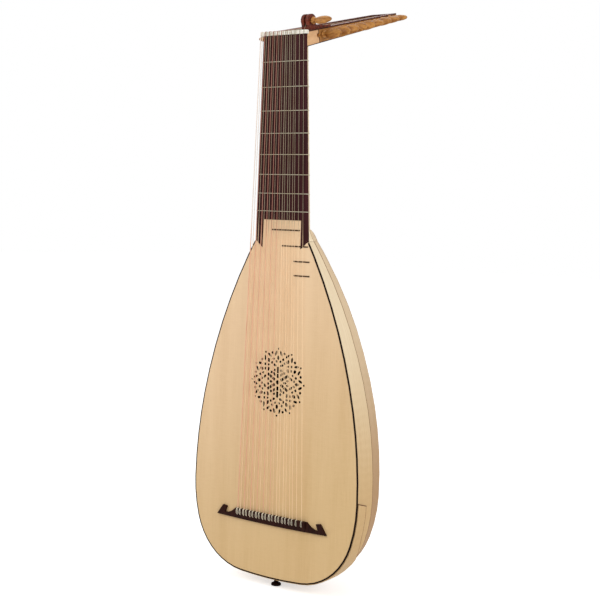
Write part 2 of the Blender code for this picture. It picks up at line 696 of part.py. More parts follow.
def peg_places():
    """(name, along, side) of each peg in the pegbox, from the nut outwards."""
    bass = [(f"peg_bass_{i + 1:02d}", FIRST_BASS_PEG + PEG_SPACING * i, -1) for i in range(BASS_PEGS)]
    treble = [(f"peg_treble_{i + 1:02d}", FIRST_TREBLE_PEG + PEG_SPACING * i, 1)
              for i in range(TREBLE_PEGS)]
    return bass + treble


def shank_radius(out):
    """Radius of a peg's tapered shank at a distance inside its own cheek's face."""
    return PEG_SHANK_RADIUS - PEG_TAPER * out


def build_pegbox(mat):
    front = Y_FACE + BOARD + 2 * GAP
    seat_back = Y_FACE + NUT_BACK + GAP
    seat = Z_NUT + NUT_FOOT - GAP
    end_top = pegbox_place(PEGBOX_LENGTH, PEGBOX_TOP)
    end_low = pegbox_place(PEGBOX_LENGTH, -pegbox_depth(PEGBOX_LENGTH))
    slope = math.tan(PEGBOX_RISE)
    behind_nut = end_top.z + (seat_back - end_top.y) * slope
    side = [(front, pegbox_bottom(front - Y_FACE)), (front, seat), (seat_back, seat),
            (seat_back, behind_nut), (end_top.y, end_top.z), (end_low.y, end_low.z)]
    pegbox = pegbox_slab("pegbox", side)
    root = Y_FACE + ROOT_BACK
    wall = PEGBOX_LENGTH - PEGBOX_END_WALL
    floor_end = pegbox_place(wall, -pegbox_depth(wall) + PEGBOX_FLOOR)
    high_end = pegbox_place(wall, 0.02)
    floor_root = pegbox_bottom(ROOT_BACK) + PEGBOX_FLOOR
    hollow = [(root, seat), (root, floor_root), (floor_end.y, floor_end.z), (high_end.y, high_end.z),
              (seat_back - GAP, Z_NUT + 0.02), (seat_back - GAP, seat)]
    boolean(pegbox, pegbox_slab("pegbox_hollow", hollow, CHEEK), "DIFFERENCE")
    scoop = []
    for along, up in ((-0.01, 0.02), (-0.01, PEGBOX_TOP - SCOOP_DEPTH),
                      (SCOOP_LENGTH - 0.007, PEGBOX_TOP - SCOOP_DEPTH), (SCOOP_LENGTH + 0.02, 0.02)):
        place = pegbox_place(along, up)
        scoop.append((place.y, place.z))
    low_x = NUT_LEAN - PEGBOX_ROOT_HALF - 0.01
    boolean(pegbox, add_object("scoop", slab(scoop, low_x, NUT_LEAN - PEGBOX_ROOT_HALF + CHEEK + 0.003,
                                             lambda a, b, level: (level, a, b))), "DIFFERENCE")
    for name, along, side_sign in peg_places():
        half = pegbox_half(along)
        for near in (True, False):
            inside = CHEEK / 2 if near else 2 * half - CHEEK / 2
            radius = (shank_radius(0.0 if near else 2 * half - CHEEK) + GAP)
            radius = radius / math.cos(math.pi / HOLE_SIDES) + 0.00005
            middle = side_sign * (half - inside)
            rings = []
            for x in (middle - CHEEK, middle + CHEEK):
                centre = pegbox_place(along, peg_axis(along), x)
                rings.append([centre + Vector((0, radius * math.cos(math.tau * i / HOLE_SIDES),
                                               radius * math.sin(math.tau * i / HOLE_SIDES)))
                              for i in range(HOLE_SIDES)])
            boolean(pegbox, add_object("peg_hole", loft(rings)), "DIFFERENCE")
    pegbox.data.materials.clear()
    pegbox.data.materials.append(mat)
    return pegbox


def peg_rings(through, winding):
    """Rings along a peg: (distance out of its cheek, wide radius, thin radius)."""
    def shank(out):
        radius = shank_radius(-out)
        return (out, radius, radius)
    tip = -through - PEG_TIP_OUT
    length = PEG_HEAD_LENGTH
    rows = [shank(tip), shank(winding - WINDING_HALF - 0.0008),
            (winding - WINDING_HALF, WINDING_RADIUS, WINDING_RADIUS),
            (winding + WINDING_HALF, WINDING_RADIUS, WINDING_RADIUS),
            shank(winding + WINDING_HALF + 0.0008), shank(2 * GAP),
            (0.0012, 0.0052, 0.0052), (0.0036, 0.0052, 0.0052), (0.0065, 0.0036, 0.0034),
            (length * 0.36, 0.0080, 0.0040), (length * 0.58, 0.0088, 0.0042),
            (length * 0.86, 0.0060, 0.0032), (length, 0.0022, 0.0016)]
    return rows


def build_peg(name, axis_point, sign, through, winding, turn, mat):
    """One peg about its own axis, with its object's origin on that axis at the cheek."""
    rings = []
    for out, wide, thin in peg_rings(through, winding):
        rings.append([(sign * out, wide * math.cos(math.tau * i / PEG_SIDES),
                       thin * math.sin(math.tau * i / PEG_SIDES)) for i in range(PEG_SIDES)])
    peg = add_object(name, loft(rings), mat, 40)
    peg.location = axis_point
    peg.rotation_euler = (turn, 0.0, 0.0)
    return peg


def rider_axis():
    return Vector((0.0, Y_FACE + RIDER_HEAD_BACK, Z_NUT + RIDER_HEAD_RISE))


def build_rider(mat):
    """The small raised holder of the top string's peg, on the treble cheek."""
    slope = math.tan(PEGBOX_RISE)
    lift = (PEGBOX_TOP + GAP) / math.cos(PEGBOX_RISE)

    def cheek_top(back):
        return Z_NUT + lift + back * slope
    centre = rider_axis()
    head = arc((centre.y, centre.z), RIDER_HEAD_RADIUS, math.radians(215), math.radians(-25), 11)
    start = Vector(head[-1])
    end = Vector((Y_FACE + RIDER_TAIL, cheek_top(RIDER_TAIL) + 0.002))
    pull = Vector((centre.y + 1.6 * RIDER_HEAD_RADIUS, cheek_top(0.024) + 0.004))
    steps = 6
    back = []
    for i in range(1, steps + 1):
        t = i / steps
        back.append(tuple(start * (1 - t) ** 2 + pull * 2 * t * (1 - t) + end * t ** 2))
    toe = NUT_BACK + 2 * GAP
    side = head + back + [(Y_FACE + RIDER_TAIL, cheek_top(RIDER_TAIL)), (Y_FACE + toe, cheek_top(toe))]
    rider = add_object("treble_rider", slab(side, RIDER_INNER, RIDER_OUTER,
                                            lambda a, b, level: (level, a, b)))
    middle = (RIDER_INNER + RIDER_OUTER) / 2
    depth = Z_NUT + RIDER_HEAD_RISE - RIDER_HEAD_RADIUS * 0.95
    slot = block("rider_slot", (middle - RIDER_SLOT / 2, Y_FACE - 0.02, depth),
                 (middle + RIDER_SLOT / 2, centre.y + RIDER_HEAD_RADIUS * 0.75, Z_NUT + 0.05))
    boolean(rider, slot, "DIFFERENCE")
    radius = (RIDER_SHANK_RADIUS + GAP) / math.cos(math.pi / HOLE_SIDES) + 0.00005
    hole = []
    for x in (RIDER_INNER - 0.01, RIDER_OUTER + 0.01):
        hole.append([centre + Vector((x, radius * math.cos(math.tau * i / HOLE_SIDES),
                                      radius * math.sin(math.tau * i / HOLE_SIDES)))
                     for i in range(HOLE_SIDES)])
    boolean(rider, add_object("rider_hole", loft(hole)), "DIFFERENCE")
    rider.data.materials.clear()
    rider.data.materials.append(mat)
    return rider


def courses():
    """For each course, its strings as (bridge x, nut x, radius, peg name)."""
    rows = [[(0.0600, 0.0280, 0.00025, "peg_rider")], [(0.0505, 0.0205, 0.00028, "peg_treble_01")]]
    treble = [f"peg_treble_{i:02d}" for i in range(2, TREBLE_PEGS + 1)]
    bass = [f"peg_bass_{i:02d}" for i in range(BASS_PEGS, 0, -1)]
    pegs = treble + bass
    for course in range(3, 12):
        at_bridge = 0.0403 - 0.01235 * (course - 3)
        at_nut = 0.0120 - 0.0077 * (course - 3)
        pair = pegs[2 * (course - 3):2 * (course - 3) + 2]
        thick = 0.00030 + 0.000045 * (course - 3)
        thin = 0.00030 if course < 6 else thick * 0.62
        rows.append([(at_bridge + 0.0027, at_nut + 0.0015, thin, pair[0]),
                     (at_bridge - 0.0027, at_nut - 0.0015, thick, pair[1])])
    return rows


def winding_places():
    """Middle of each peg's winding: (axis point, x offset), by peg name."""
    places = {}
    for name, along, sign in peg_places():
        half = pegbox_half(along)
        axis = pegbox_place(along, peg_axis(along))
        middle = NUT_LEAN + sign * (half - CHEEK - WINDING_FROM_CHEEK)
        places[name] = (Vector((middle, axis.y, axis.z)), Vector((0, -math.sin(PEGBOX_RISE),
                                                                  math.cos(PEGBOX_RISE))))
    axis = rider_axis()
    places["peg_rider"] = (Vector(((RIDER_INNER + RIDER_OUTER) / 2, axis.y, axis.z)),
                           Vector((0, -0.942, 0.335)))
    return places


def string_route(bridge_x, nut_x, radius, peg, windings):
    """Points from the tie on the bridge, up the neck and over the nut, to the peg."""
    lift = radius + GAP
    top = Y_FACE - GAP - BRIDGE_HEIGHT - lift
    tie_back = Z_BRIDGE - BRIDGE_TOP_DEPTH + 0.0006
    front = Z_BRIDGE + lift
    centre, out = windings[peg]
    reach = RIDER_SHANK_RADIUS if peg == "peg_rider" else WINDING_RADIUS
    end = centre + out * (reach + lift + 0.0001)
    face, crown = Y_FACE - NUT_FRONT, Z_NUT + NUT_TOP
    rise = Vector((nut_x, face - lift, crown - NUT_CORNER))
    turn = Vector((nut_x, face + NUT_CORNER * 0.3 - lift * 0.7, crown - NUT_CORNER * 0.3 + lift * 0.7))
    over = Vector((nut_x, face + NUT_CORNER, crown + lift))
    leave = Vector((bridge_x, top + radius + 0.0012, front))
    points = [Vector((bridge_x, top, tie_back)), Vector((bridge_x, top, front - radius)), leave,
              leave.lerp(rise, 1 / 3), leave.lerp(rise, 2 / 3), rise, turn, over]
    if peg != "peg_rider":
        points.append(Vector((nut_x, Y_FACE + NUT_BACK, crown + lift)))
    points.append(end)
    return points


def build_course(number, strings, windings, mat):
    """A course as one cord: a pair is joined where its two bridge ties meet."""
    route = []
    for place, (bridge_x, nut_x, radius, peg) in enumerate(strings):
        points = [(point, radius) for point in string_route(bridge_x, nut_x, radius, peg, windings)]
        route = route[::-1] + points if place else points
    return cord(f"string_course_{number:02d}", route, mat)


def build():
    clear_scene()
    spruce = material("spruce", (0.73, 0.54, 0.33), 0.5)
    maple = material("maple", (0.78, 0.64, 0.45), 0.4)
    ebony = material("ebony", (0.02, 0.014, 0.012), 0.4)
    rosewood = material("dark_fingerboard_wood", (0.045, 0.018, 0.02), 0.45)
    neck_wood = material("neck_wood", (0.80, 0.68, 0.50), 0.4)
    bone = material("bone", (0.85, 0.82, 0.74), 0.35)
    peg_wood = material("peg_wood", (0.55, 0.28, 0.10), 0.35)
    plum = material("plum_wood", (0.17, 0.035, 0.018), 0.35)
    gut = material("gut", (0.75, 0.66, 0.48), 0.4)
    bass_gut = material("loaded_gut", (0.55, 0.25, 0.18), 0.4)

    build_soundboard(spruce)
    build_binding(ebony)
    for index in range(RIB_COUNT):
        build_rib(index, maple)
    build_end_clasp(maple)
    build_end_button(ebony)
    build_neck(neck_wood)
    build_fingerboard(rosewood)
    build_nut(bone)
    build_bridge(ebony)
    build_pegbox(maple)
    build_rider(plum)
    for number in range(1, TIED_FRETS + 1):
        build_tied_fret(number, gut)

    windings = winding_places()
    for order, (name, along, sign) in enumerate(peg_places()):
        half = pegbox_half(along)
        axis = pegbox_place(along, peg_axis(along), sign * half)
        winding = -abs(windings[name][0].x - axis.x)
        share = along / PEGBOX_LENGTH
        turn = math.radians((82 - 58 * share if sign > 0 else 20) + 5 * math.sin(2.4 * order))
        build_peg(name, axis, sign, 2 * half, winding, turn, peg_wood)
    axis = rider_axis()
    width = RIDER_OUTER - RIDER_INNER
    build_rider_peg(Vector((RIDER_OUTER, axis.y, axis.z)), width, peg_wood)

    for number, strings in enumerate(courses(), 1):
        build_course(number, strings, windings, gut if number < 6 else bass_gut)


def build_rider_peg(axis_point, width, mat):
    """The small peg in the rider, whose string winds straight on its shank."""
    rings = []
    for out, wide, thin in peg_rings(width, -width / 2):
        if wide == WINDING_RADIUS:
            wide = thin = RIDER_SHANK_RADIUS
        rings.append([(out, wide * math.cos(math.tau * i / PEG_SIDES),
                       thin * math.sin(math.tau * i / PEG_SIDES)) for i in range(PEG_SIDES)])
    peg = add_object("peg_rider", loft(rings), mat, 40)
    peg.location = axis_point
    peg.rotation_euler = (math.radians(38), 0.0, 0.0)
    return peg


build()
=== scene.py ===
"""Looks of the baroque lute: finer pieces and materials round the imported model."""
import math

import bmesh
import bpy
from mathutils import Matrix, Vector


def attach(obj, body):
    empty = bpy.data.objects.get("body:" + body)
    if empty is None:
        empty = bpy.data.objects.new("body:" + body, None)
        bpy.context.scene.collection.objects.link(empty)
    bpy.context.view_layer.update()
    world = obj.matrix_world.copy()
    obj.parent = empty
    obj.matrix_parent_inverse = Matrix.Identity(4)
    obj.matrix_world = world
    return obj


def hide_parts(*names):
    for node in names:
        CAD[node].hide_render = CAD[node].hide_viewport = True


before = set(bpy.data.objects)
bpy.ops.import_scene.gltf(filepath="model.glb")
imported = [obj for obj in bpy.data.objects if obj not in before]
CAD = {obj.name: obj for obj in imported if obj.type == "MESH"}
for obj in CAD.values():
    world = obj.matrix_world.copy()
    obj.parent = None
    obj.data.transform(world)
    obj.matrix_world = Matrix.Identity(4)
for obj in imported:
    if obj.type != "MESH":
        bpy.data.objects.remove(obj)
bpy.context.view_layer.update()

# Places and sizes in metres, as in the model's source
GAP = 0.0003
BOARD = 0.002
Y_FACE = -0.016
Z_JOINT = 0.50404
NECK_LENGTH = 0.2932
Z_NUT = Z_JOINT + NECK_LENGTH
FRETTING_LENGTH = 0.68
BRIDGE_SETBACK = 0.0104
Z_BRIDGE = Z_NUT - FRETTING_LENGTH - BRIDGE_SETBACK
ROSE_BELOW_NUT, ROSE_OFFSET = 0.4975, 0.0025
Z_ROSE = Z_NUT - ROSE_BELOW_NUT
BRIDGE_HEIGHT, BRIDGE_TOP_DEPTH = 0.0062, 0.0066
JOINT_HALF_WIDTH, NUT_HALF_WIDTH, NUT_LEAN = 0.049, 0.0396, -0.0075
NECK_DEPTH_JOINT, NECK_DEPTH_NUT, HEEL_LENGTH = 0.0245, 0.0205, 0.0175
NUT_TOP, NUT_FOOT, NUT_FRONT, NUT_BACK, NUT_CORNER = 0.005, -0.0006, 0.001, 0.0036, 0.0012
NUT_LEFT, NUT_RIGHT = -0.0525, 0.0335
TIED_FRETS, FRET_RADIUS = 8, 0.00045
RIB_COUNT = 11
BUTTON_LENGTH = 0.013
DEPTH_RATIO_TAIL, DEPTH_RATIO_NECK = 0.96, 1.18
CLASP_DEPTH_SIDE, CLASP_DEPTH_TAIL, CLASP_LOW, CLASP_HIGH = 0.025, 0.046, 0.018, 0.099
CLASP_TOP, CLASP_TOP_SLOPE = 0.1462, 0.2467
SLOPE = math.radians(13.5)
PEGBOX_LENGTH, PEGBOX_TOP = 0.2435, 0.0034
ROOT_HALF, END_HALF = 0.0396, 0.024
ROOT_HEIGHT, END_HEIGHT = 0.0223, 0.0125
CHEEK = 0.008
FIRST_BASS_PEG, FIRST_TREBLE_PEG, LAST_PEG_FROM_END = 0.028, 0.0393, 0.0125
BASS_PEGS, TREBLE_PEGS = 10, 9
PEG_SPACING = (PEGBOX_LENGTH - FIRST_BASS_PEG - LAST_PEG_FROM_END) / (BASS_PEGS - 1)
PEG_DEPTH_SHARE, PEG_SHANK_RADIUS, PEG_TAPER, PEG_TIP_OUT = 0.46, 0.0036, 1 / 60, 0.003
WINDING_FROM_CHEEK = 0.009
RIDER_INNER, RIDER_OUTER = 0.0208, 0.0340
RIDER_HEAD_BACK, RIDER_HEAD_RISE = 0.0095, 0.0185

# Strings: (place on the bridge, place on the nut, radius, peg) of the two single courses,
# then the first pair's places and what changes from each pair to the next
SINGLE_STRINGS = ((0.0600, 0.0280, 0.00025, "peg_rider"),
                  (0.0505, 0.0205, 0.00028, "peg_treble_01"))
PAIRS, UNISON_PAIRS, OCTAVE_SHARE = 9, 3, 0.62
PAIR_AT_BRIDGE, BRIDGE_STEP, BRIDGE_PAIR_HALF = 0.0403, 0.01235, 0.0027
PAIR_AT_NUT, NUT_STEP, NUT_PAIR_HALF = 0.0120, 0.0077, 0.0015
PAIR_RADIUS, RADIUS_STEP = 0.00030, 0.000045

# Sizes of what only the scene shows (WRAP_STEP and FRET_START are angles in radians)
ROSE_REACH, ROSE_EDGE, RAISED = 0.056, 0.0005, 0.00006
GRAIN_ARC = 0.12
RIB_LINE, HEEL_LINE = 0.0008, 0.0004
HEEL_EDGE, HEEL_EDGE_SLOPE = 0.0163, -0.75
CLASP_BACK_LINE, CLASP_TOP_LINE = 0.0011, 0.0013
ROOT_END, ROOT_JOINT, ROOT_JOINT_HALF = 0.0300, 0.0302, 0.0009
CAP_DEPTH, CAP_LINE_DEPTH, UNDER_LINE = 0.0012, 0.0022, 0.0012
BASS_RADIUS, STRING_SINK_SHARE = 0.00043, 0.45
ROUND_SIDES, CORD_SIDES, KNOT_SIDES = 20, 8, 6
WINDING_WIDTH, WINDING_SINK, WRAP_STEP, WRAP_STEPS = 0.0062, 0.0002, 0.25, 5
TIE_RADIUS, TIE_DROP, TIE_SPREAD, TIE_OVERHANG, TIE_LOOP = 0.00042, 0.0020, 0.0007, 0.0022, 0.0003
FRET_CORNER, FRET_STEPS, FRET_START = 0.0005, 26, 0.03
CORNER_REACH, CORNER_SHARE = 0.0008, 0.45
KNOT_LOOP, KNOT_CORD, KNOT_TAIL = 0.0009, 0.00036, 0.00034
NUT_BEVEL, NUT_EDGE, GROOVE_SHARE = 0.0006, 0.0005, 0.6
PAPER_SINK, PAPER_THICKNESS, PAPER_WELD = 0.0002, 0.0001, 0.00045
WELD = 0.00001
RIDER_EDGE, BRIDGE_EDGE, BOARD_EDGE = 0.0007, 0.0004, 0.0002
# Degrees: how far each kind of peg is turned, and the angle up to which an edge looks smooth
BASS_TURN, TREBLE_TURN, TREBLE_TURN_FALL, TURN_SPREAD, RIDER_TURN = 20, 82, 58, 5, 38
RIB_SMOOTH, CLASP_SMOOTH, EDGE_SMOOTH = 25, 20, 32

# A peg's tip as (distance from its end, radius)
PEG_TIP = ((0.0, 0.0012), (0.0002, 0.0024))
SHANK_START, SHANK_END = 0.0008, 0.0004
# A peg's head as (distance out of the cheek, half width, half thickness)
PEG_HEAD = (
    (0.0010, 0.0044, 0.0044), (0.0013, 0.0050, 0.0050), (0.0018, 0.0052, 0.0052),
    (0.0030, 0.0052, 0.0052), (0.0035, 0.0050, 0.0050), (0.0039, 0.0044, 0.0044),
    (0.0048, 0.0039, 0.0038), (0.0065, 0.0037, 0.0034), (0.0088, 0.0052, 0.0036),
    (0.0118, 0.0076, 0.0039), (0.0150, 0.0086, 0.0041), (0.0188, 0.0088, 0.0042),
    (0.0225, 0.0083, 0.0040), (0.0262, 0.0072, 0.0036), (0.0295, 0.0057, 0.0031),
    (0.0320, 0.0040, 0.0024), (0.0334, 0.0025, 0.0017), (0.0340, 0.0010, 0.0008))
# The end button as (radius, height)
BUTTON_PROFILE = (
    (0.0001, 0.0003), (0.0020, 0.0003), (0.0023, 0.0), (0.0060, 0.0), (0.0070, 0.0004),
    (0.0073, 0.0011), (0.0074, 0.0020), (0.0072, 0.0030), (0.0065, 0.0041), (0.0052, 0.0047),
    (0.0040, 0.0053), (0.0033, 0.0063), (0.0031, 0.0076), (0.0030, 0.0110), (0.0030, 0.0290))

# Tones of the maple at the low and the high end of the body, with painted light and shade in them:
# paler towards the top, lightest on the edge ribs and darkest on the ribs next to them
EDGE_RIB_LIT = ((0.700, 0.480, 0.240), (0.940, 0.785, 0.550))
NEXT_RIB_SHADED = ((0.455, 0.250, 0.092), (0.800, 0.620, 0.400))
BACK_RIB = ((0.525, 0.315, 0.140), (0.800, 0.600, 0.390))
# Tones in pairs, light and dark
# painted light: the spruce is lighter towards the top and towards -X
SPRUCE_SHADED = ((0.745, 0.525, 0.270), (0.580, 0.365, 0.155))
SPRUCE_LIT = ((0.905, 0.655, 0.415), (0.725, 0.472, 0.258))
# painted shade for the walls of the rose's holes, at the face and deeper in
ROSE_WALL_SHADE = ((0.100, 0.045, 0.018), (0.006, 0.003, 0.002))
NECK_WOOD = ((0.860, 0.690, 0.460), (0.660, 0.470, 0.270))
CHEEK_GOLD = ((0.520, 0.245, 0.070), (0.230, 0.080, 0.020))
ROOT_WOOD = ((0.820, 0.500, 0.270), (0.630, 0.345, 0.155))
CAP_WOOD = ((0.150, 0.040, 0.026), (0.080, 0.020, 0.014))
EBONY = ((0.016, 0.005, 0.004), (0.006, 0.002, 0.002))
BRIDGE_WOOD = ((0.040, 0.012, 0.008), (0.014, 0.005, 0.004))
BOARD_WOOD = ((0.066, 0.017, 0.019), (0.026, 0.008, 0.009))
PLUM_WOOD = ((0.190, 0.036, 0.016), (0.046, 0.009, 0.005))
PEG_WOOD = ((0.540, 0.250, 0.064), (0.260, 0.095, 0.022))
BONE = ((0.880, 0.850, 0.760), (0.700, 0.650, 0.520))
# painted shade: the paper inside the bowl is dark brown
PAPER = ((0.060, 0.040, 0.024), (0.036, 0.023, 0.014))
# Strings: light, dark, and the painted shade they take over the fingerboard
GUT = ((1.000, 0.760, 0.500), (0.880, 0.600, 0.350), (0.390, 0.335, 0.230))
TIED_GUT = ((0.860, 0.790, 0.630), (0.660, 0.580, 0.420), (0.700, 0.650, 0.500))
LOADED_GUT = ((0.870, 0.510, 0.340), (0.700, 0.370, 0.230), (0.430, 0.200, 0.145))
# Single tones
JOINT_BROWN = (0.270, 0.120, 0.045)
# painted shade: near-black tones for the inner faces of the bowl and of the soundboard
BOWL_INSIDE_SHADE, BOARD_INSIDE_SHADE = (0.016, 0.011, 0.008), (0.060, 0.035, 0.020)
CLASP_BACK_BROWN, CLASP_TOP_BROWN = (0.340, 0.155, 0.060), (0.130, 0.048, 0.016)
# painted highlight: the strings beside the neck are nearly white
BODY_FRET_BROWN, STRING_HIGHLIGHT_BESIDE_NECK = (0.040, 0.018, 0.008), (0.900, 0.780, 0.680)
ROOT_JOINT_BROWN, UNDER_BROWN = (0.060, 0.028, 0.014), (0.070, 0.030, 0.018)
CAP_LINE_BROWN = (0.022, 0.006, 0.005)
SHADE = (0.80, 0.72, 0.62)

# The photo's camera: place, right, down and ahead
CAMERA_PLACE, CAMERA_LENS = (1.30853409, -1.58340028, 0.53747), 85.405
CAMERA_RIGHT = (0.7750307, 0.63085171, 0.03679034)
CAMERA_DOWN = (0.06492722, -0.02158426, -0.99765654)
CAMERA_AHEAD = (-0.62857925, 0.77560314, -0.05768791)
# Light: name, place, size and power of each lamp, all aimed at the body
LAMPS = (("key", (-1.2, -2.9, 2.3), 1.8, 39.0), ("side", (3.2, -0.7, 1.8), 1.6, 42.0),
         ("back", (-1.5, 2.8, 2.4), 2.0, 10.0))
LAMP_TARGET = (0.0, 0.05, 0.42)
SKY_LIGHT, SKY_SEEN, FLOOR_WHITE, FLOOR_GLOW = 0.58, 1.0, 0.80, 0.60
FLOOR_SIZE, FLOOR_DROP = 12.0, 0.0002


# Materials

class Shader:
    """A material on a Principled shader, with short calls that add nodes to it."""

    def __init__(self, name, roughness, coat=0.0, specular=0.5):
        self.material = bpy.data.materials.new(name)
        self.material.use_nodes = True
        self.tree = self.material.node_tree
        self.surface = self.tree.nodes["Principled BSDF"]
        self.surface.inputs["Roughness"].default_value = roughness
        self.surface.inputs["Coat Weight"].default_value = coat
        self.surface.inputs["Coat Roughness"].default_value = 0.25
        self.surface.inputs["Specular IOR Level"].default_value = specular
        self.place = self.add("ShaderNodeTexCoord").outputs["Object"]
        parts = self.add("ShaderNodeSeparateXYZ", {0: self.place}).outputs
        self.x, self.y, self.z = parts[0], parts[1], parts[2]

    def add(self, kind, inputs=None, **settings):
        node = self.tree.nodes.new(kind)
        for key, value in settings.items():
            setattr(node, key, value)
        for key, value in (inputs or {}).items():
            if isinstance(value, bpy.types.NodeSocket):
                self.tree.links.new(value, node.inputs[key])
            else:
                node.inputs[key].default_value = value
        return node

    def maths(self, operation, a, b=0.0, c=0.0):
        inputs = {0: a, 1: b, 2: c} if operation == "MULTIPLY_ADD" else {0: a, 1: b}
        return self.add("ShaderNodeMath", inputs, operation=operation).outputs[0]

    def vector(self, x, y, z):
        return self.add("ShaderNodeCombineXYZ", {0: x, 1: y, 2: z}).outputs[0]

    def scaled(self, x, y, z):
        """The object's place, stretched along each axis."""
        inputs = {0: self.place, 1: (x, y, z)}
        return self.add("ShaderNodeVectorMath", inputs, operation="MULTIPLY").outputs[0]

    def noise(self, vector, detail=2.0, roughness=0.5):
        inputs = {"Vector": vector, "Scale": 1.0, "Detail": detail, "Roughness": roughness}
        return self.add("ShaderNodeTexNoise", inputs).outputs["Fac"]

    def ramp(self, value, low, high, to_low=0.0, to_high=1.0, kind="SMOOTHSTEP"):
        inputs = {"Value": value, "From Min": low, "From Max": high,
                  "To Min": to_low, "To Max": to_high}
        return self.add("ShaderNodeMapRange", inputs, interpolation_type=kind).outputs[0]

    def mix(self, share, a, b):
        colours = {0: share, 6: a if not isinstance(a, tuple) else (*a, 1.0),
                   7: b if not isinstance(b, tuple) else (*b, 1.0)}
        return self.add("ShaderNodeMix", colours, data_type="RGBA").outputs[2]

    def colour(self, socket):
        self.tree.links.new(socket, self.surface.inputs["Base Color"])

    def bump(self, height, strength, distance):
        inputs = {"Height": height, "Strength": strength, "Distance": distance}
        normal = self.add("ShaderNodeBump", inputs).outputs[0]
        self.tree.links.new(normal, self.surface.inputs["Normal"])

    def rough(self, socket):
        self.tree.links.new(socket, self.surface.inputs["Roughness"])


def shaded(colour):
    """The dark grain in a wood or cord of this colour."""
    return tuple(c * k for c, k in zip(colour, SHADE))


def spruce():
    """The soundboard, with its glued frets, the walls of the rose and its inner face, painted light
    that makes it lighter towards the top and towards -X, and painted shade on the rose's walls and
    on the inner face.

    Growth rings run straight up and lie closer towards the middle joint."""
    s = Shader("spruce_top", 0.46, specular=0.12)
    across = s.maths("ABSOLUTE", s.x)
    wander = s.noise(s.scaled(18.0, 0.0, 3.5), detail=3.0)
    across = s.maths("MULTIPLY_ADD", wander, 0.0035, across)
    square = s.maths("MULTIPLY", across, across)
    phase = s.maths("MULTIPLY_ADD", across, 5200.0, s.maths("MULTIPLY", square, -9000.0))
    ring = s.maths("MULTIPLY_ADD", s.maths("SINE", phase), 0.5, 0.5)
    ring = s.maths("POWER", ring, 3.0)
    fibre = s.noise(s.scaled(1500.0, 1500.0, 16.0), detail=2.0)
    silk = s.noise(s.scaled(90.0, 90.0, 700.0), detail=2.0, roughness=0.7)
    broad = s.noise(s.scaled(26.0, 0.0, 1.6), detail=3.0)
    weight = s.ramp(broad, 0.30, 0.70, 0.06, 0.15)
    tone = s.maths("MULTIPLY_ADD", ring, weight, s.maths("MULTIPLY", fibre, 0.32))
    tone = s.maths("MULTIPLY_ADD", broad, 0.42, tone)
    tone = s.maths("MULTIPLY_ADD", silk, 0.16, tone)
    share = s.ramp(tone, 0.30, 0.95)
    # painted light: the spruce turns lighter towards the top and towards -X
    rise = s.maths("MULTIPLY_ADD", s.x, -0.6, s.z)
    wood = s.mix(s.ramp(rise, 0.02, 0.50), s.mix(share, *SPRUCE_SHADED), s.mix(share, *SPRUCE_LIT))
    # painted shade on the walls of the rose's holes: dark brown at the face, near black deeper in
    normal = s.add("ShaderNodeTexCoord").outputs["Normal"]
    facing = s.add("ShaderNodeSeparateXYZ", {0: normal}).outputs[1]
    wall = s.maths("LESS_THAN", s.maths("ABSOLUTE", facing), 0.5)
    off_x = s.maths("SUBTRACT", s.x, ROSE_OFFSET)
    off_z = s.maths("SUBTRACT", s.z, Z_ROSE)
    off = s.maths("SQRT", s.maths("MULTIPLY_ADD", off_z, off_z, s.maths("MULTIPLY", off_x, off_x)))
    side = s.mix(s.ramp(s.y, Y_FACE, Y_FACE + ROSE_EDGE), *ROSE_WALL_SHADE)
    wood = s.mix(s.maths("MULTIPLY", wall, s.maths("LESS_THAN", off, ROSE_REACH)), wood, side)
    # painted shade: the soundboard's inner face is dark brown
    behind = s.maths("GREATER_THAN", s.y, Y_FACE + BOARD * 0.97)
    wood = s.mix(behind, wood, BOARD_INSIDE_SHADE)
    raised = s.maths("LESS_THAN", s.y, Y_FACE - RAISED)
    s.colour(s.mix(raised, wood, BODY_FRET_BROWN))
    s.bump(s.maths("MULTIPLY_ADD", ring, 0.3, fibre), 0.10, 0.00012)
    s.rough(s.maths("MULTIPLY_ADD", fibre, 0.16, 0.34))
    return s.material


def maple_wood(s, low, high, seed):
    """Fibres along the rib and a soft curl across it, painted light that makes it paler towards the
    top, and painted shade, near black, on the inside of the bowl.
    """
    back = s.maths("SUBTRACT", s.y, Y_FACE)
    arc = s.maths("MULTIPLY", s.maths("ARCTAN2", back, s.x), GRAIN_ARC)

    def cloud(around, up, shift, detail):
        rise = s.maths("MULTIPLY", s.z, up)
        place = s.vector(s.maths("MULTIPLY", arc, around), seed + shift, rise)
        return s.noise(place, detail=detail)

    lines = cloud(900.0, 7.0, 0.0, 4.0)
    warp = cloud(34.0, 13.0, 0.0, 2.0)
    curl = s.maths("SINE", s.maths("MULTIPLY_ADD", s.z, 560.0, s.maths("MULTIPLY", warp, 11.0)))
    patch = cloud(12.0, 6.0, 3.0, 2.0)
    curl = s.maths("MULTIPLY", curl, s.ramp(patch, 0.35, 0.75))
    fleck = cloud(1500.0, 160.0, 0.0, 1.0)
    tone = s.maths("MULTIPLY_ADD", lines, 0.75, s.maths("MULTIPLY", curl, 0.035))
    tone = s.maths("MULTIPLY_ADD", fleck, 0.22, tone)
    # painted light: the maple turns paler towards the top of the body
    painted_top_light = s.ramp(s.z, 0.12, 0.42)
    light = s.mix(painted_top_light, low, high)
    dark = s.mix(painted_top_light, shaded(low), shaded(high))
    wood = s.mix(s.ramp(tone, 0.22, 0.90), light, dark)
    # painted shade: faces turned into the bowl are near black
    outward = s.add("ShaderNodeTexCoord").outputs["Normal"]
    radial = s.vector(s.x, back, 0.0)
    facing = s.add("ShaderNodeVectorMath", {0: outward, 1: radial}, operation="DOT_PRODUCT")
    inside = s.maths("LESS_THAN", facing.outputs["Value"], -0.004)
    s.bump(lines, 0.06, 0.0001)
    s.rough(s.maths("MULTIPLY_ADD", fleck, 0.14, 0.39))
    return s.mix(inside, wood, BOWL_INSIDE_SHADE)


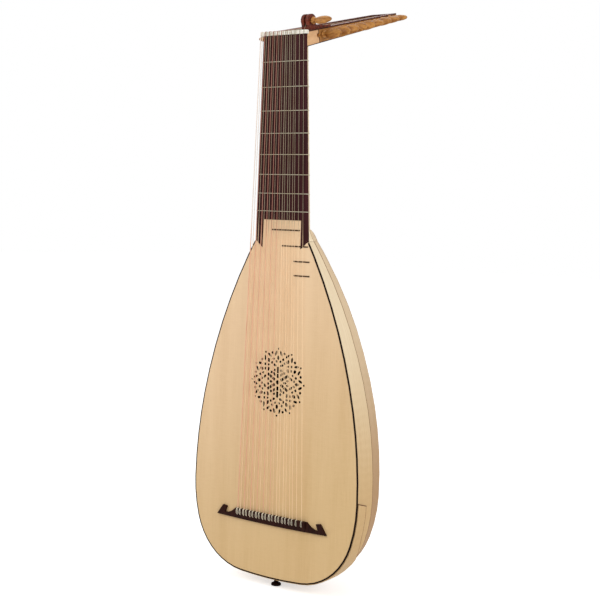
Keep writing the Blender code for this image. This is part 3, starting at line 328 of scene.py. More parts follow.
def rib_maple(name, low, high, seed):
    """A rib, with a thin brown line along both its joints."""
    s = Shader(name, 0.46, specular=0.08)
    wood = maple_wood(s, low, high, seed)
    ratio = s.ramp(s.z, BUTTON_LENGTH, Z_JOINT, DEPTH_RATIO_TAIL, DEPTH_RATIO_NECK, "LINEAR")
    level = s.maths("DIVIDE", s.maths("SUBTRACT", s.y, Y_FACE), ratio)
    reach = s.maths("SQRT", s.maths("MULTIPLY_ADD", s.x, s.x, s.maths("MULTIPLY", level, level)))
    place = s.maths("MULTIPLY", s.maths("ARCTAN2", level, s.x), RIB_COUNT / math.pi)
    width = s.maths("MULTIPLY", reach, math.pi / RIB_COUNT)
    away = s.maths("MULTIPLY", s.maths("PINGPONG", place, 0.5), width)
    s.colour(s.mix(s.maths("LESS_THAN", away, RIB_LINE), wood, JOINT_BROWN))
    return s.material


def clasp_maple():
    """The clasp, like the ribs beside it and with their painted light, with a brown line along its
    upper and back edges.
    """
    s = Shader("clasp_maple", 0.46, specular=0.08)
    wood = maple_wood(s, *EDGE_RIB_LIT, 91.0)
    back = s.maths("SUBTRACT", s.y, Y_FACE)
    edge = s.ramp(s.z, CLASP_LOW, CLASP_HIGH, CLASP_DEPTH_TAIL, CLASP_DEPTH_SIDE)
    rear = s.maths("GREATER_THAN", s.maths("SUBTRACT", back, edge), -CLASP_BACK_LINE)
    wood = s.mix(rear, wood, CLASP_BACK_BROWN)
    height = s.maths("MULTIPLY_ADD", back, CLASP_TOP_SLOPE, s.z)
    upper = s.maths("GREATER_THAN", height, CLASP_TOP - CLASP_TOP_LINE)
    s.colour(s.mix(upper, wood, CLASP_TOP_BROWN))
    return s.material


def dark_wood(name, light, dark, roughness, scale):
    """Dense dark wood with fine streaks and pores along Z."""
    s = Shader(name, roughness, specular=0.035)
    streak = s.noise(s.scaled(scale, scale, scale * 0.02), detail=4.0, roughness=0.6)
    pore = s.noise(s.scaled(3200.0, 3200.0, 120.0), detail=1.0)
    tone = s.maths("MULTIPLY_ADD", pore, 0.35, s.maths("MULTIPLY", streak, 0.8))
    s.colour(s.mix(s.ramp(tone, 0.34, 0.82), dark, light))
    s.bump(pore, 0.10, 0.0001)
    s.rough(s.maths("MULTIPLY_ADD", pore, 0.2, roughness - 0.1))
    return s.material


def cross_wood(name, light, dark, roughness, ring):
    """Wood whose grain runs along X, for pegs: growth lines, brown figure and small pores."""
    s = Shader(name, roughness, specular=0.16)
    warp = s.noise(s.scaled(28.0, 110.0, 110.0), detail=3.0)
    lines = s.maths("SINE", s.maths("MULTIPLY_ADD", warp, 26.0, s.maths("MULTIPLY", s.y, ring)))
    cloud = s.noise(s.scaled(46.0, 160.0, 160.0), detail=3.0, roughness=0.65)
    pore = s.noise(s.scaled(180.0, 2600.0, 2600.0), detail=1.0)
    tone = s.maths("MULTIPLY_ADD", lines, 0.10, s.maths("MULTIPLY", cloud, 0.95))
    tone = s.maths("MULTIPLY_ADD", pore, 0.20, tone)
    s.colour(s.mix(s.ramp(tone, 0.38, 0.82), light, dark))
    s.bump(pore, 0.08, 0.0001)
    s.rough(s.maths("MULTIPLY_ADD", pore, 0.16, roughness - 0.08))
    return s.material


def neck_maple():
    """Neck wood, with the ends of the ribs laid over its heel in the ribs' tones, which hold
    painted light and shade.
    """
    s = Shader("neck_maple", 0.46, specular=0.08)
    lines = s.noise(s.scaled(420.0, 420.0, 5.0), detail=4.0)
    warp = s.noise(s.scaled(40.0, 40.0, 12.0), detail=2.0)
    curl = s.maths("SINE", s.maths("MULTIPLY_ADD", s.z, 520.0, s.maths("MULTIPLY", warp, 10.0)))
    tone = s.maths("MULTIPLY_ADD", curl, 0.06, s.maths("MULTIPLY", lines, 0.9))
    tone = s.ramp(tone, 0.25, 0.85)
    wood = s.mix(tone, *NECK_WOOD)
    back = s.maths("SUBTRACT", s.y, Y_FACE)
    rise = s.maths("SUBTRACT", s.z, Z_JOINT)
    swell = s.maths("MAXIMUM", s.maths("MULTIPLY_ADD", rise, -1 / HEEL_LENGTH, 1.0), 0.0)
    swell = s.maths("SQRT", swell)
    full = JOINT_HALF_WIDTH * DEPTH_RATIO_NECK - NECK_DEPTH_JOINT
    depth = s.maths("MULTIPLY_ADD", swell, full, NECK_DEPTH_JOINT)
    level = s.maths("DIVIDE", s.maths("MULTIPLY", back, JOINT_HALF_WIDTH), depth)
    place = s.maths("MULTIPLY", s.maths("ARCTAN2", level, s.x), RIB_COUNT / math.pi)
    inward = s.maths("ABSOLUTE", s.maths("SUBTRACT", place, RIB_COUNT / 2))
    inward = s.maths("SUBTRACT", RIB_COUNT / 2, inward)
    first = s.maths("SUBTRACT", back, s.maths("MULTIPLY_ADD", rise, HEEL_EDGE_SLOPE, HEEL_EDGE))
    # the ribs' tones over the heel, with their painted light and shade
    edge, following, rear = (s.mix(tone, high, shaded(high))
                             for _, high in (EDGE_RIB_LIT, NEXT_RIB_SHADED, BACK_RIB))
    rib = s.mix(s.maths("GREATER_THAN", inward, 2.0), following, rear)
    joints = s.maths("MULTIPLY", s.maths("LESS_THAN", s.maths("PINGPONG", place, 0.5), 0.05),
                     s.maths("GREATER_THAN", inward, 1.5))
    rib = s.mix(joints, rib, JOINT_BROWN)
    rib = s.mix(s.maths("GREATER_THAN", first, 0.0), edge, rib)
    line = s.maths("LESS_THAN", s.maths("ABSOLUTE", first), HEEL_LINE)
    rib = s.mix(line, rib, JOINT_BROWN)
    s.colour(s.mix(s.maths("LESS_THAN", rise, HEEL_LENGTH - HEEL_LINE), wood, rib))
    s.bump(lines, 0.06, 0.0001)
    s.rough(s.maths("MULTIPLY_ADD", lines, 0.16, 0.36))
    return s.material


def pegbox_wood():
    """Golden figured cheeks, a pale root with a thin dark joint, and a strip along both edges."""
    s = Shader("pegbox_maple", 0.42, specular=0.14)
    c, t = math.cos(SLOPE), math.sin(SLOPE)
    back = s.maths("SUBTRACT", s.y, Y_FACE)
    rise = s.maths("SUBTRACT", s.z, Z_NUT)
    along = s.maths("MULTIPLY_ADD", back, c, s.maths("MULTIPLY", rise, t))
    up = s.maths("MULTIPLY_ADD", rise, c, s.maths("MULTIPLY", back, -t))

    def grain(length, width, height):
        return s.vector(s.maths("MULTIPLY", along, length), s.maths("MULTIPLY", s.x, width),
                        s.maths("MULTIPLY", up, height))

    cloud = s.noise(grain(26.0, 120.0, 240.0), detail=4.0, roughness=0.65)
    fine = s.noise(grain(60.0, 900.0, 1400.0))
    tone = s.maths("MULTIPLY_ADD", fine, 0.4, s.maths("MULTIPLY", cloud, 0.8))
    gold = s.mix(s.ramp(tone, 0.42, 0.86), *CHEEK_GOLD)
    pale = s.mix(s.ramp(tone, 0.40, 0.95), *ROOT_WOOD)
    wood = s.mix(s.maths("LESS_THAN", along, ROOT_END), gold, pale)
    from_joint = s.maths("ABSOLUTE", s.maths("SUBTRACT", along, ROOT_JOINT))
    wood = s.mix(s.maths("LESS_THAN", from_joint, ROOT_JOINT_HALF), wood, ROOT_JOINT_BROWN)
    wood = s.mix(s.maths("GREATER_THAN", up, PEGBOX_TOP - CAP_LINE_DEPTH), wood, CAP_LINE_BROWN)
    cap = s.mix(s.ramp(tone, 0.42, 0.86), *CAP_WOOD)
    wood = s.mix(s.maths("GREATER_THAN", up, PEGBOX_TOP - CAP_DEPTH), wood, cap)
    run = (END_HEIGHT - ROOT_HEIGHT) / PEGBOX_LENGTH
    floor = s.maths("MULTIPLY_ADD", along, run, up)
    low = s.maths("LESS_THAN", floor, PEGBOX_TOP - ROOT_HEIGHT + UNDER_LINE)
    s.colour(s.mix(low, wood, UNDER_BROWN))
    s.bump(fine, 0.08, 0.0001)
    s.rough(s.maths("MULTIPLY_ADD", fine, 0.16, 0.34))
    return s.material


def cord_material(name, light, dark, board_shade):
    """Twisted gut: fine slanting lines, with painted shade over the fingerboard and a painted
    highlight beside it.
    """
    s = Shader(name, 0.45, specular=0.2)
    turn = s.maths("SINE", s.maths("MULTIPLY_ADD", s.x, 4000.0, s.maths("MULTIPLY", s.z, 2800.0)))
    cloud = s.noise(s.scaled(40.0, 40.0, 40.0), detail=3.0)
    tone = s.ramp(s.maths("MULTIPLY_ADD", turn, 0.12, cloud), 0.2, 0.8)
    plain_tone = s.mix(tone, light, dark)
    # painted shade: over the fingerboard the strings take a darker tone
    painted_neck_tone = s.mix(tone, board_shade, shaded(board_shade))
    # painted highlight on the strings beside the neck
    beside = s.maths("LESS_THAN", s.x, NUT_LEAN - NUT_HALF_WIDTH - 0.0005)
    painted_neck_tone = s.mix(beside, painted_neck_tone, STRING_HIGHLIGHT_BESIDE_NECK)
    s.colour(s.mix(s.ramp(s.z, Z_JOINT - 0.01, Z_JOINT + 0.04), plain_tone, painted_neck_tone))
    s.bump(turn, 0.15, 0.00008)
    return s.material


def bone():
    """Polished bone with fine pores."""
    s = Shader("bone", 0.30, coat=0.3)
    s.surface.inputs["Subsurface Weight"].default_value = 0.08
    s.surface.inputs["Subsurface Radius"].default_value = (0.002, 0.0015, 0.001)
    cloud = s.noise(s.scaled(90.0, 400.0, 400.0), detail=3.0)
    pore = s.noise(s.scaled(500.0, 4000.0, 4000.0), detail=1.0)
    tone = s.maths("MULTIPLY_ADD", pore, 0.3, s.maths("MULTIPLY", cloud, 0.8))
    s.colour(s.mix(s.ramp(tone, 0.35, 0.85), *BONE))
    s.bump(pore, 0.05, 0.00005)
    return s.material


def paper():
    """The paper inside the bowl, darkened with painted shade."""
    s = Shader("paper_shaded", 0.85, specular=0.05)
    cloud = s.noise(s.scaled(60.0, 60.0, 60.0), detail=4.0)
    s.colour(s.mix(s.ramp(cloud, 0.3, 0.7), *PAPER))
    return s.material


def give(obj, material):
    """Make this the piece's only material."""
    obj.data.materials.clear()
    obj.data.materials.append(material)


# Meshes

def turn_angles(count):
    """Equal steps of one full turn."""
    return [math.tau * k / count for k in range(count)]


def rounded(points, reach, steps=4):
    """A route with each corner turned into a short curve."""
    route = [points[0]]
    for before, here, after in zip(points, points[1:], points[2:]):
        near = min(reach, (here - before).length * CORNER_SHARE)
        far = min(reach, (after - here).length * CORNER_SHARE)
        start = here + (before - here).normalized() * near
        end = here + (after - here).normalized() * far
        for i in range(steps + 1):
            t = i / steps
            route.append(start * (1 - t) ** 2 + here * (2 * t * (1 - t)) + end * t ** 2)
    route.append(points[-1])
    return route


def tube(bm, points, radius, sides=CORD_SIDES, slot=0, closed=False):
    """Add a round tube along the points to a bmesh."""
    count = len(points)
    side = None
    rings = []
    for i, point in enumerate(points):
        before = points[i - 1] if (i or closed) else point
        after = points[(i + 1) % count] if (i + 1 < count or closed) else point
        tangent = (after - before).normalized()
        side = tangent.orthogonal() if side is None else side - tangent * side.dot(tangent)
        side.normalize()
        other = tangent.cross(side)
        rings.append([bm.verts.new(point + (side * math.cos(a) + other * math.sin(a)) * radius)
                      for a in turn_angles(sides)])
    pairs = list(zip(rings, rings[1:])) + ([(rings[-1], rings[0])] if closed else [])
    for low, high in pairs:
        for k in range(sides):
            n = (k + 1) % sides
            bm.faces.new((low[k], low[n], high[n], high[k])).material_index = slot
    if not closed:
        bm.faces.new(rings[0]).material_index = slot
        bm.faces.new(rings[-1]).material_index = slot


def skin(rings):
    """Join equal rings and close both ends."""
    bm = bmesh.new()
    rows = [[bm.verts.new(p) for p in ring] for ring in rings]
    count = len(rows[0])
    for low, high in zip(rows, rows[1:]):
        for k in range(count):
            n = (k + 1) % count
            bm.faces.new((low[k], low[n], high[n], high[k]))
    bm.faces.new(rows[0])
    bm.faces.new(rows[-1])
    return bm


def piece(name, bm, materials, body, stands_for=(), sharp=40):
    """A smooth-shaded piece that rides on a body."""
    bmesh.ops.recalc_face_normals(bm, faces=bm.faces)
    mesh = bpy.data.meshes.new(name)
    bm.to_mesh(mesh)
    bm.free()
    mesh.shade_smooth()
    mesh.set_sharp_from_angle(angle=math.radians(sharp))
    for material in materials:
        mesh.materials.append(material)
    obj = bpy.data.objects.new(name, mesh)
    bpy.context.scene.collection.objects.link(obj)
    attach(obj, body)
    if stands_for:
        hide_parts(*stands_for)


def soften_group(degrees):
    """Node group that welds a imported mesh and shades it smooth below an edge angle."""
    group = bpy.data.node_groups.new(f"soften_{degrees}", "GeometryNodeTree")
    group.interface.new_socket("Geometry", in_out="INPUT", socket_type="NodeSocketGeometry")
    group.interface.new_socket("Geometry", in_out="OUTPUT", socket_type="NodeSocketGeometry")
    start, end = group.nodes.new("NodeGroupInput"), group.nodes.new("NodeGroupOutput")
    weld = group.nodes.new("GeometryNodeMergeByDistance")
    weld.inputs["Distance"].default_value = WELD
    faces = group.nodes.new("GeometryNodeSetShadeSmooth")
    edges = group.nodes.new("GeometryNodeSetShadeSmooth")
    edges.domain = "EDGE"
    edges.inputs["Shade Smooth"].default_value = False
    angle = group.nodes.new("GeometryNodeInputMeshEdgeAngle")
    over = group.nodes.new("ShaderNodeMath")
    over.operation = "GREATER_THAN"
    over.inputs[1].default_value = math.radians(degrees)
    links = group.links
    links.new(start.outputs[0], weld.inputs[0])
    links.new(weld.outputs[0], faces.inputs[0])
    links.new(faces.outputs[0], edges.inputs[0])
    links.new(angle.outputs["Unsigned Angle"], over.inputs[0])
    links.new(over.outputs[0], edges.inputs["Selection"])
    links.new(edges.outputs[0], end.inputs[0])
    return group


def soften(names, degrees, bevel=0.0):
    """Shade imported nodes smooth, and round their sharp edges where a width is given."""
    group = soften_group(degrees)
    for name in names:
        obj = CAD[name]
        if bevel:
            weld = obj.modifiers.new("weld", "WELD")
            weld.merge_threshold = WELD
            edge = obj.modifiers.new("edge", "BEVEL")
            edge.width = bevel
            edge.segments = 2
            edge.limit_method = "ANGLE"
            edge.angle_limit = math.radians(degrees)
        obj.modifiers.new("soften", "NODES").node_group = group


# The same lines as in the model's source

def neck_section(z):
    """The neck's middle, half width and depth at a height."""
    share = (z - Z_JOINT) / NECK_LENGTH
    return (NUT_LEAN * share, JOINT_HALF_WIDTH + (NUT_HALF_WIDTH - JOINT_HALF_WIDTH) * share,
            NECK_DEPTH_JOINT + (NECK_DEPTH_NUT - NECK_DEPTH_JOINT) * share)


def fret_height(number):
    """Height of a fret, by equal semitones."""
    return Z_NUT - FRETTING_LENGTH * (1 - 2 ** (-number / 12))


def pegbox_place(along, up, x):
    """A point along the pegbox's slope, square to it and across it."""
    c, s = math.cos(SLOPE), math.sin(SLOPE)
    return Vector((NUT_LEAN + x, Y_FACE + along * c - up * s, Z_NUT + along * s + up * c))


def pegbox_half(along):
    """Half the pegbox's outer width."""
    return ROOT_HALF + (END_HALF - ROOT_HALF) * along / PEGBOX_LENGTH


def peg_level(along):
    """Level of the pegs' holes in the cheeks."""
    height = ROOT_HEIGHT + (END_HEIGHT - ROOT_HEIGHT) * along / PEGBOX_LENGTH
    return PEGBOX_TOP - PEG_DEPTH_SHARE * height


def peg_rows():
    """(name, axis point at the cheek, side, width through, winding's depth, turn) of each peg."""
    places = []
    for kind, first, count, side in (("bass", FIRST_BASS_PEG, BASS_PEGS, -1),
                                     ("treble", FIRST_TREBLE_PEG, TREBLE_PEGS, 1)):
        places += [(f"peg_{kind}_{i + 1:02d}", first + PEG_SPACING * i, side) for i in range(count)]
    rows = []
    for order, (name, along, side) in enumerate(places):
        half = pegbox_half(along)
        axis = pegbox_place(along, peg_level(along), side * half)
        lean = TREBLE_TURN - TREBLE_TURN_FALL * along / PEGBOX_LENGTH if side > 0 else BASS_TURN
        turn = math.radians(lean + TURN_SPREAD * math.sin(2.4 * order))
        rows.append((name, axis, side, 2 * half, CHEEK + WINDING_FROM_CHEEK, turn))
    width = RIDER_OUTER - RIDER_INNER
    axis = Vector((RIDER_OUTER, Y_FACE + RIDER_HEAD_BACK, Z_NUT + RIDER_HEAD_RISE))
    rows.append(("peg_rider", axis, 1, width, width / 2, math.radians(RIDER_TURN)))
    return rows


def courses():
    """For each course, its strings as (bridge x, nut x, radius, peg name)."""
    rows = [[string] for string in SINGLE_STRINGS]
    pegs = [f"peg_treble_{i:02d}" for i in range(2, TREBLE_PEGS + 1)]
    pegs += [f"peg_bass_{i:02d}" for i in range(BASS_PEGS, 0, -1)]
    for step in range(PAIRS):
        at_bridge = PAIR_AT_BRIDGE - BRIDGE_STEP * step
        at_nut = PAIR_AT_NUT - NUT_STEP * step
        thick = PAIR_RADIUS + RADIUS_STEP * step
        thin = PAIR_RADIUS if step < UNISON_PAIRS else thick * OCTAVE_SHARE
        rows.append([(at_bridge + BRIDGE_PAIR_HALF, at_nut + NUT_PAIR_HALF, thin, pegs[2 * step]),
                     (at_bridge - BRIDGE_PAIR_HALF, at_nut - NUT_PAIR_HALF, thick,
                      pegs[2 * step + 1])])
    return rows


PEGS = peg_rows()
COURSES = courses()
STRINGS = {row[3]: row for rows in COURSES for row in rows}


# Pieces

def build_pegs(wood, gut, bass_gut):
    """Each peg with its flat head and its turns of string."""
    for name, axis, side, through, winding, turn in PEGS:
        tip = -through - PEG_TIP_OUT
        rows = [(tip + inward, radius, radius) for inward, radius in PEG_TIP]
        for out in (tip + SHANK_START, -winding, SHANK_END):
            rows.append((out, shank_radius(out), shank_radius(out)))
        c, s = math.cos(turn), math.sin(turn)
        rings = []
        for out, wide, thin in rows + list(PEG_HEAD):
            section = [(wide * math.cos(a), thin * math.sin(a)) for a in turn_angles(ROUND_SIDES)]
            rings.append([axis + Vector((side * out, y * c - z * s, y * s + z * c))
                          for y, z in section])
        piece("turned_" + name, skin(rings), [wood], name, [name], 55)
        row = STRINGS[name]
        material, slot = (bass_gut, "bass_gut") if is_bass(row) else (gut, "gut")
        build_coil(name, axis, side, winding, row[2], material)


def is_bass(row):
    """Whether a string is one of the thick loaded ones."""
    return row[2] > BASS_RADIUS


def shank_radius(out):
    """Radius of a peg's tapered shank, at a distance out of its cheek."""
    return PEG_SHANK_RADIUS + PEG_TAPER * out


def build_coil(name, axis, side, winding, radius, material):
    """Turns of string side by side, as rings, so that they stay in place when the peg turns."""
    turns = max(4, min(9, int(WINDING_WIDTH / (2 * radius))))
    core = shank_radius(-winding)
    profile = [(-turns * radius, core - WINDING_SINK)]
    for i in range(turns):
        middle = (2 * i + 1 - turns) * radius
        for step in range(5):
            angle = math.pi * (1 - (step + 0.5) / 5)
            profile.append((middle + radius * math.cos(angle),
                            core + radius + radius * math.sin(angle)))
    profile.append((turns * radius, core - WINDING_SINK))
    rings = [[axis + Vector((side * (out - winding), reach * math.cos(a), reach * math.sin(a)))
              for a in turn_angles(ROUND_SIDES)] for out, reach in profile]
    piece("coil_" + name[4:], skin(rings), [material], name, sharp=60)


def wound_end(row):
    """Where a string meets its winding, and a few points round the turn."""
    name, axis, side, _, winding, _ = next(p for p in PEGS if p[0] == row[3])
    radius = row[2]
    middle = axis.x - side * winding
    reach = shank_radius(-winding) + radius
    if name == "peg_rider":
        start = Vector((row[1], Y_FACE - NUT_FRONT - radius, Z_NUT + NUT_TOP))
    else:
        start = Vector((row[1], Y_FACE + NUT_BACK, Z_NUT + NUT_TOP + radius))
    away = Vector((start.y - axis.y, start.z - axis.z))
    spread = math.acos(min(1.0, reach / away.length))
    base = math.atan2(away.y, away.x)
    angles = [base - spread, base + spread]
    if name == "peg_rider":
        first = min(angles, key=math.cos)
    else:
        first = max(angles, key=math.sin)
    shift = side * 0.4 * radius
    return [Vector((middle + shift * i / WRAP_STEPS,
                    axis.y + reach * math.cos(first - i * WRAP_STEP),
                    axis.z + reach * math.sin(first - i * WRAP_STEP)))
            for i in range(WRAP_STEPS + 1)]


def string_points(row):
    """The route of a string: from the bridge's front up the neck, over the nut, to its peg."""
    bridge_x, nut_x, radius, peg = row
    top = Y_FACE - GAP - BRIDGE_HEIGHT
    face, crown = Y_FACE - NUT_FRONT, Z_NUT + NUT_TOP
    sink = radius * STRING_SINK_SHARE
    rise = Vector((nut_x, face - radius + sink * 0.2, crown - NUT_CORNER))
    turn = Vector((nut_x, face + NUT_CORNER * 0.3 - (radius - sink) * 0.7,
                   crown - NUT_CORNER * 0.3 + (radius - sink) * 0.7))
    over = Vector((nut_x, face + NUT_CORNER, crown + radius - sink))
    points = [Vector((bridge_x, top + 0.0018, Z_BRIDGE - 0.0012)),
              Vector((bridge_x, top + 0.0015, Z_BRIDGE + 0.0008)), rise, turn, over]
    if peg != "peg_rider":
        points.append(Vector((nut_x, Y_FACE + NUT_BACK, crown + radius - sink)))
    return rounded(points, CORNER_REACH, 3) + wound_end(row)


def tie_points(row, side):
    """One of the two strands that a string's knot lays over the bridge, and its radius."""
    bridge_x, _, radius, _ = row
    thin = min(radius, TIE_RADIUS)
    top = Y_FACE - GAP - BRIDGE_HEIGHT - thin
    spread = TIE_SPREAD + thin
    front, end = Z_BRIDGE + thin, Z_BRIDGE - BRIDGE_TOP_DEPTH - TIE_OVERHANG
    return rounded([Vector((bridge_x + side * spread * 0.3, top + 0.0034, front + 0.0002)),
                    Vector((bridge_x + side * spread * 0.4, top - 0.0001, front + 0.0001)),
                    Vector((bridge_x + side * spread, top, front - 0.0045)),
                    Vector((bridge_x + side * spread * 0.9, top, end + TIE_OVERHANG)),
                    Vector((bridge_x + side * spread * 0.5, top + TIE_DROP * 0.55, end + 0.0008)),
                    Vector((bridge_x, top + TIE_DROP, end))], 0.0009, 3), thin


def build_strings(gut, bass_gut, tie_gut):
    """Each course with the knots that tie it to the bridge."""
    top = Y_FACE - GAP - BRIDGE_HEIGHT
    for number, rows in enumerate(COURSES, 1):
        bm = bmesh.new()
        for row in rows:
            bridge_x, _, radius, _ = row
            tube(bm, string_points(row), radius, CORD_SIDES, 1 if is_bass(row) else 0)
            for side in (-1, 1):
                points, thin = tie_points(row, side)
                tube(bm, points, thin, KNOT_SIDES, 2)
            wrap = radius + TIE_LOOP
            loop = [Vector((bridge_x + wrap * math.cos(a), top + 0.0013 + wrap * math.sin(a),
                            Z_BRIDGE + 0.0009 + TIE_LOOP * math.cos(a))) for a in turn_angles(10)]
            tube(bm, loop, TIE_LOOP, KNOT_SIDES, 2, True)
        piece(f"strings_{number:02d}", bm, [gut, bass_gut, tie_gut], "lute",
              [f"string_course_{number:02d}"], 70)


def fret_points(z, lift):
    """The closed route of a tied fret: across the face, round both corners, and round the back."""
    middle, half, depth = neck_section(z)
    points = []
    for sign in (1, -1):
        turn = [Vector((middle + sign * (half + lift - FRET_CORNER * (1 - math.sin(a))),
                        Y_FACE - lift + FRET_CORNER * (1 - math.cos(a)), z))
                for a in [math.pi / 2 * i / 3 for i in range(4)]]
        turn.append(Vector((middle + sign * (half + lift), Y_FACE + BOARD, z)))
        if sign > 0:
            points += turn
            first = math.asin(BOARD / depth) + FRET_START
            for i in range(1, FRET_STEPS):
                angle = first + (math.pi - 2 * first) * i / FRET_STEPS
                points.append(Vector((middle + (half + lift) * math.cos(angle),
                                      Y_FACE + (depth + lift) * math.sin(angle), z)))
        else:
            points += turn[::-1]
    return points


def build_frets(gut):
    """Each tied fret with its knot and two short ends on the bass side."""
    for number in range(1, TIED_FRETS + 1):
        z = fret_height(number)
        bm = bmesh.new()
        tube(bm, fret_points(z, FRET_RADIUS), FRET_RADIUS, closed=True)
        middle, half, _ = neck_section(z)
        x = middle - half - FRET_RADIUS
        for level in (-1, 1):
            y = Y_FACE + 0.0042 + level * 0.0007
            loop = [Vector((x - 0.0001 + KNOT_LOOP * math.cos(a), y + 0.0003 * math.sin(a),
                            z + KNOT_LOOP * math.sin(a))) for a in turn_angles(12)]
            tube(bm, loop, KNOT_CORD, KNOT_SIDES, closed=True)
        for sign in (-1, 1):
            tail = [Vector((x - 0.0002, Y_FACE + 0.0040, z)),
                    Vector((x - 0.0008, Y_FACE + 0.0046, z + sign * 0.0012)),
                    Vector((x - 0.0009, Y_FACE + 0.0056, z + sign * 0.0022))]
            tube(bm, rounded(tail, CORNER_REACH), KNOT_TAIL, KNOT_SIDES)
        piece(f"gut_fret_{number}", bm, [gut], "lute", [f"tied_fret_{number}"], 70)


def build_nut(material):
    """The nut with a small groove under each string."""
    grooves = sorted((row[1], row[2]) for rows in COURSES for row in rows)
    stations = [(NUT_LEFT, NUT_BEVEL), (NUT_LEFT + NUT_BEVEL, 0.0)]
    for x, radius in grooves:
        groove = radius * GROOVE_SHARE
        stations += [(x - radius * 1.5, 0.0), (x - radius * 0.8, groove),
                     (x + radius * 0.8, groove), (x + radius * 1.5, 0.0)]
    stations += [(NUT_RIGHT - NUT_BEVEL, 0.0), (NUT_RIGHT, NUT_BEVEL)]
    rings = []
    for x, cut in stations:
        ring = [(-NUT_FRONT, NUT_FOOT)]
        for i in range(6):
            angle = math.pi / 2 * i / 5
            ring.append((-NUT_FRONT + NUT_CORNER - (NUT_CORNER - cut * 0.5) * math.cos(angle),
                         NUT_TOP - NUT_CORNER + (NUT_CORNER - cut) * math.sin(angle)))
        ring += [(NUT_BACK - NUT_EDGE, NUT_TOP - cut), (NUT_BACK, NUT_TOP - NUT_EDGE - cut),
                 (NUT_BACK, NUT_FOOT)]
        rings.append([(x, y + Y_FACE, z + Z_NUT) for y, z in ring])
    piece("bone_nut", skin(rings), [material], "lute", ["nut"], 35)


def build_lining(material):
    """Paper glued over the rib joints inside the bowl, laid on the ribs' inner faces."""
    bm = bmesh.new()
    for index in range(RIB_COUNT):
        rib = bmesh.new()
        rib.from_mesh(CAD[f"rib_{index + 1:02d}"].data)
        bmesh.ops.remove_doubles(rib, verts=rib.verts, dist=WELD)
        rib.normal_update()
        angle = math.pi * (index + 0.5) / RIB_COUNT
        outward = Vector((math.cos(angle), math.sin(angle), 0.0))
        for face in rib.faces:
            if face.normal.dot(outward) < -0.4:
                bm.faces.new([bm.verts.new(v.co - outward * PAPER_SINK) for v in face.verts])
        rib.free()
    bmesh.ops.remove_doubles(bm, verts=bm.verts, dist=PAPER_WELD)
    bmesh.ops.solidify(bm, geom=bm.faces[:], thickness=-PAPER_THICKNESS)
    piece("joint_lining", bm, [material], "lute")


def build_button(material):
    """The turned end button."""
    rings = [[(r * math.cos(a), r * math.sin(a), z) for a in turn_angles(32)]
             for r, z in BUTTON_PROFILE]
    piece("turned_button", skin(rings), [material], "lute", ["end_button"], 45)


def dress():
    """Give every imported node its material, and add the finer pieces."""
    give(CAD["soundboard"], spruce())
    # painted light and shade: the edge ribs get the lit tones, and the ribs beside them the shaded
    # ones
    tones = [EDGE_RIB_LIT, NEXT_RIB_SHADED] + [BACK_RIB] * (RIB_COUNT - 4) + [NEXT_RIB_SHADED, EDGE_RIB_LIT]
    ribs = [f"rib_{i + 1:02d}" for i in range(RIB_COUNT)]
    for index, (rib, (low, high)) in enumerate(zip(ribs, tones)):
        give(CAD[rib], rib_maple(f"rib_maple_{index + 1:02d}", low, high, 7.3 * index))
    give(CAD["end_clasp"], clasp_maple())
    ebony = dark_wood("ebony", *EBONY, 0.50, 260.0)
    give(CAD["edge_binding"], ebony)
    give(CAD["bridge"], dark_wood("bridge_ebony", *BRIDGE_WOOD, 0.46, 260.0))
    give(CAD["fingerboard"], dark_wood("fingerboard_wood", *BOARD_WOOD, 0.44, 420.0))
    give(CAD["neck"], neck_maple())
    give(CAD["pegbox"], pegbox_wood())
    give(CAD["treble_rider"], cross_wood("plum_wood", *PLUM_WOOD, 0.40, 900.0))
    gut = cord_material("gut", *GUT)
    pale_gut = cord_material("tied_gut", *TIED_GUT)
    bass_gut = cord_material("loaded_gut", *LOADED_GUT)
    build_pegs(cross_wood("peg_boxwood", *PEG_WOOD, 0.42, 1300.0), gut, bass_gut)
    build_strings(gut, bass_gut, pale_gut)
    build_frets(pale_gut)
    build_nut(bone())
    build_button(ebony)
    build_lining(paper())
    soften(ribs + ["edge_binding", "neck"], RIB_SMOOTH)
    soften(["end_clasp"], CLASP_SMOOTH)
    soften(["treble_rider"], EDGE_SMOOTH, RIDER_EDGE)
    soften(["bridge"], EDGE_SMOOTH, BRIDGE_EDGE)
    soften(["fingerboard"], EDGE_SMOOTH, BOARD_EDGE)


# Camera, lights and floor

def camera():
    """The camera at the photo's place."""
    data = bpy.data.cameras.new("camera")
    data.lens = CAMERA_LENS
    data.sensor_width = 36.0
    data.clip_start = 0.05
    obj = bpy.data.objects.new("camera", data)
    axes = Matrix((CAMERA_RIGHT, -Vector(CAMERA_DOWN), -Vector(CAMERA_AHEAD))).transposed()
    obj.matrix_world = Matrix.Translation(CAMERA_PLACE) @ axes.to_4x4()
    bpy.context.scene.collection.objects.link(obj)
    bpy.context.scene.camera = obj


def lamp(name, place, size, power):
    """A round lamp that faces the body."""
    data = bpy.data.lights.new(name, "AREA")
    data.shape = "DISK"
    data.size = size
    data.energy = power
    obj = bpy.data.objects.new(name, data)
    obj.location = place
    obj.rotation_euler = (Vector(LAMP_TARGET) - Vector(place)).to_track_quat("-Z", "Y").to_euler()
    bpy.context.scene.collection.objects.link(obj)


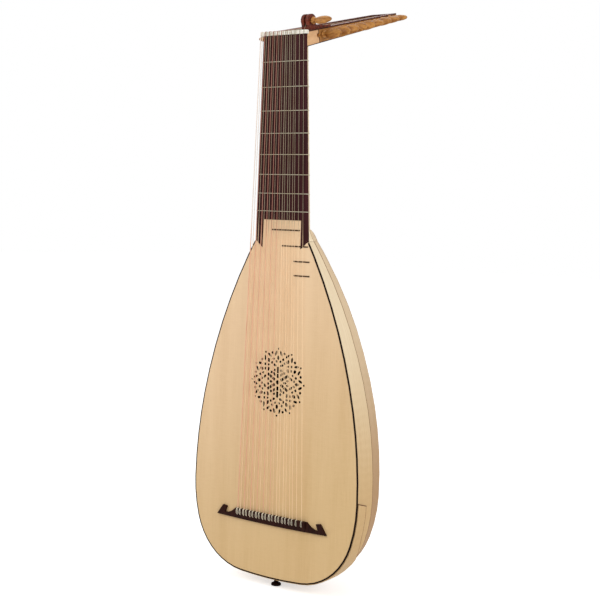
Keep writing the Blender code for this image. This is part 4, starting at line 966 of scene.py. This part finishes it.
def seen_directly(tree):
    """1 for what is seen straight, in a reflection or through glass, and 0 for other light."""
    rays = tree.nodes.new("ShaderNodeLightPath").outputs
    share = rays["Is Camera Ray"]
    for ray in ("Is Glossy Ray", "Is Transmission Ray"):
        most = tree.nodes.new("ShaderNodeMath")
        most.operation = "MAXIMUM"
        tree.links.new(share, most.inputs[0])
        tree.links.new(rays[ray], most.inputs[1])
        share = most.outputs[0]
    return share


def studio():
    """White surroundings for what is seen, and soft light at a plain level for the object."""
    scene = bpy.context.scene
    world = bpy.data.worlds.new("studio")
    scene.world = world
    world.use_nodes = True
    tree = world.node_tree
    background = tree.nodes["Background"]
    level = tree.nodes.new("ShaderNodeMapRange")
    level.inputs["To Min"].default_value = SKY_LIGHT
    level.inputs["To Max"].default_value = SKY_SEEN
    tree.links.new(seen_directly(tree), level.inputs["Value"])
    tree.links.new(level.outputs[0], background.inputs["Strength"])
    background.inputs["Color"].default_value = (1.0, 1.0, 1.0, 1.0)

    floor_material = bpy.data.materials.new("floor")
    floor_material.use_nodes = True
    tree = floor_material.node_tree
    tree.nodes.clear()
    out = tree.nodes.new("ShaderNodeOutputMaterial")
    plain = tree.nodes.new("ShaderNodeBsdfDiffuse")
    plain.inputs["Color"].default_value = (FLOOR_WHITE, FLOOR_WHITE, FLOOR_WHITE, 1.0)
    glow = tree.nodes.new("ShaderNodeEmission")
    glow.inputs["Strength"].default_value = FLOOR_GLOW
    both = tree.nodes.new("ShaderNodeAddShader")
    choose = tree.nodes.new("ShaderNodeMixShader")
    tree.links.new(plain.outputs[0], both.inputs[0])
    tree.links.new(glow.outputs[0], both.inputs[1])
    tree.links.new(seen_directly(tree), choose.inputs[0])
    tree.links.new(plain.outputs[0], choose.inputs[1])
    tree.links.new(both.outputs[0], choose.inputs[2])
    tree.links.new(choose.outputs[0], out.inputs["Surface"])
    bm = bmesh.new()
    bmesh.ops.create_grid(bm, x_segments=1, y_segments=1, size=FLOOR_SIZE)
    mesh = bpy.data.meshes.new("floor")
    bm.to_mesh(mesh)
    bm.free()
    mesh.materials.append(floor_material)
    floor = bpy.data.objects.new("floor", mesh)
    floor.location.z = -FLOOR_DROP
    scene.collection.objects.link(floor)

    for name, place, size, power in LAMPS:
        lamp(name, place, size, power)
    scene.view_settings.view_transform = "Standard"


dress()
camera()
studio()
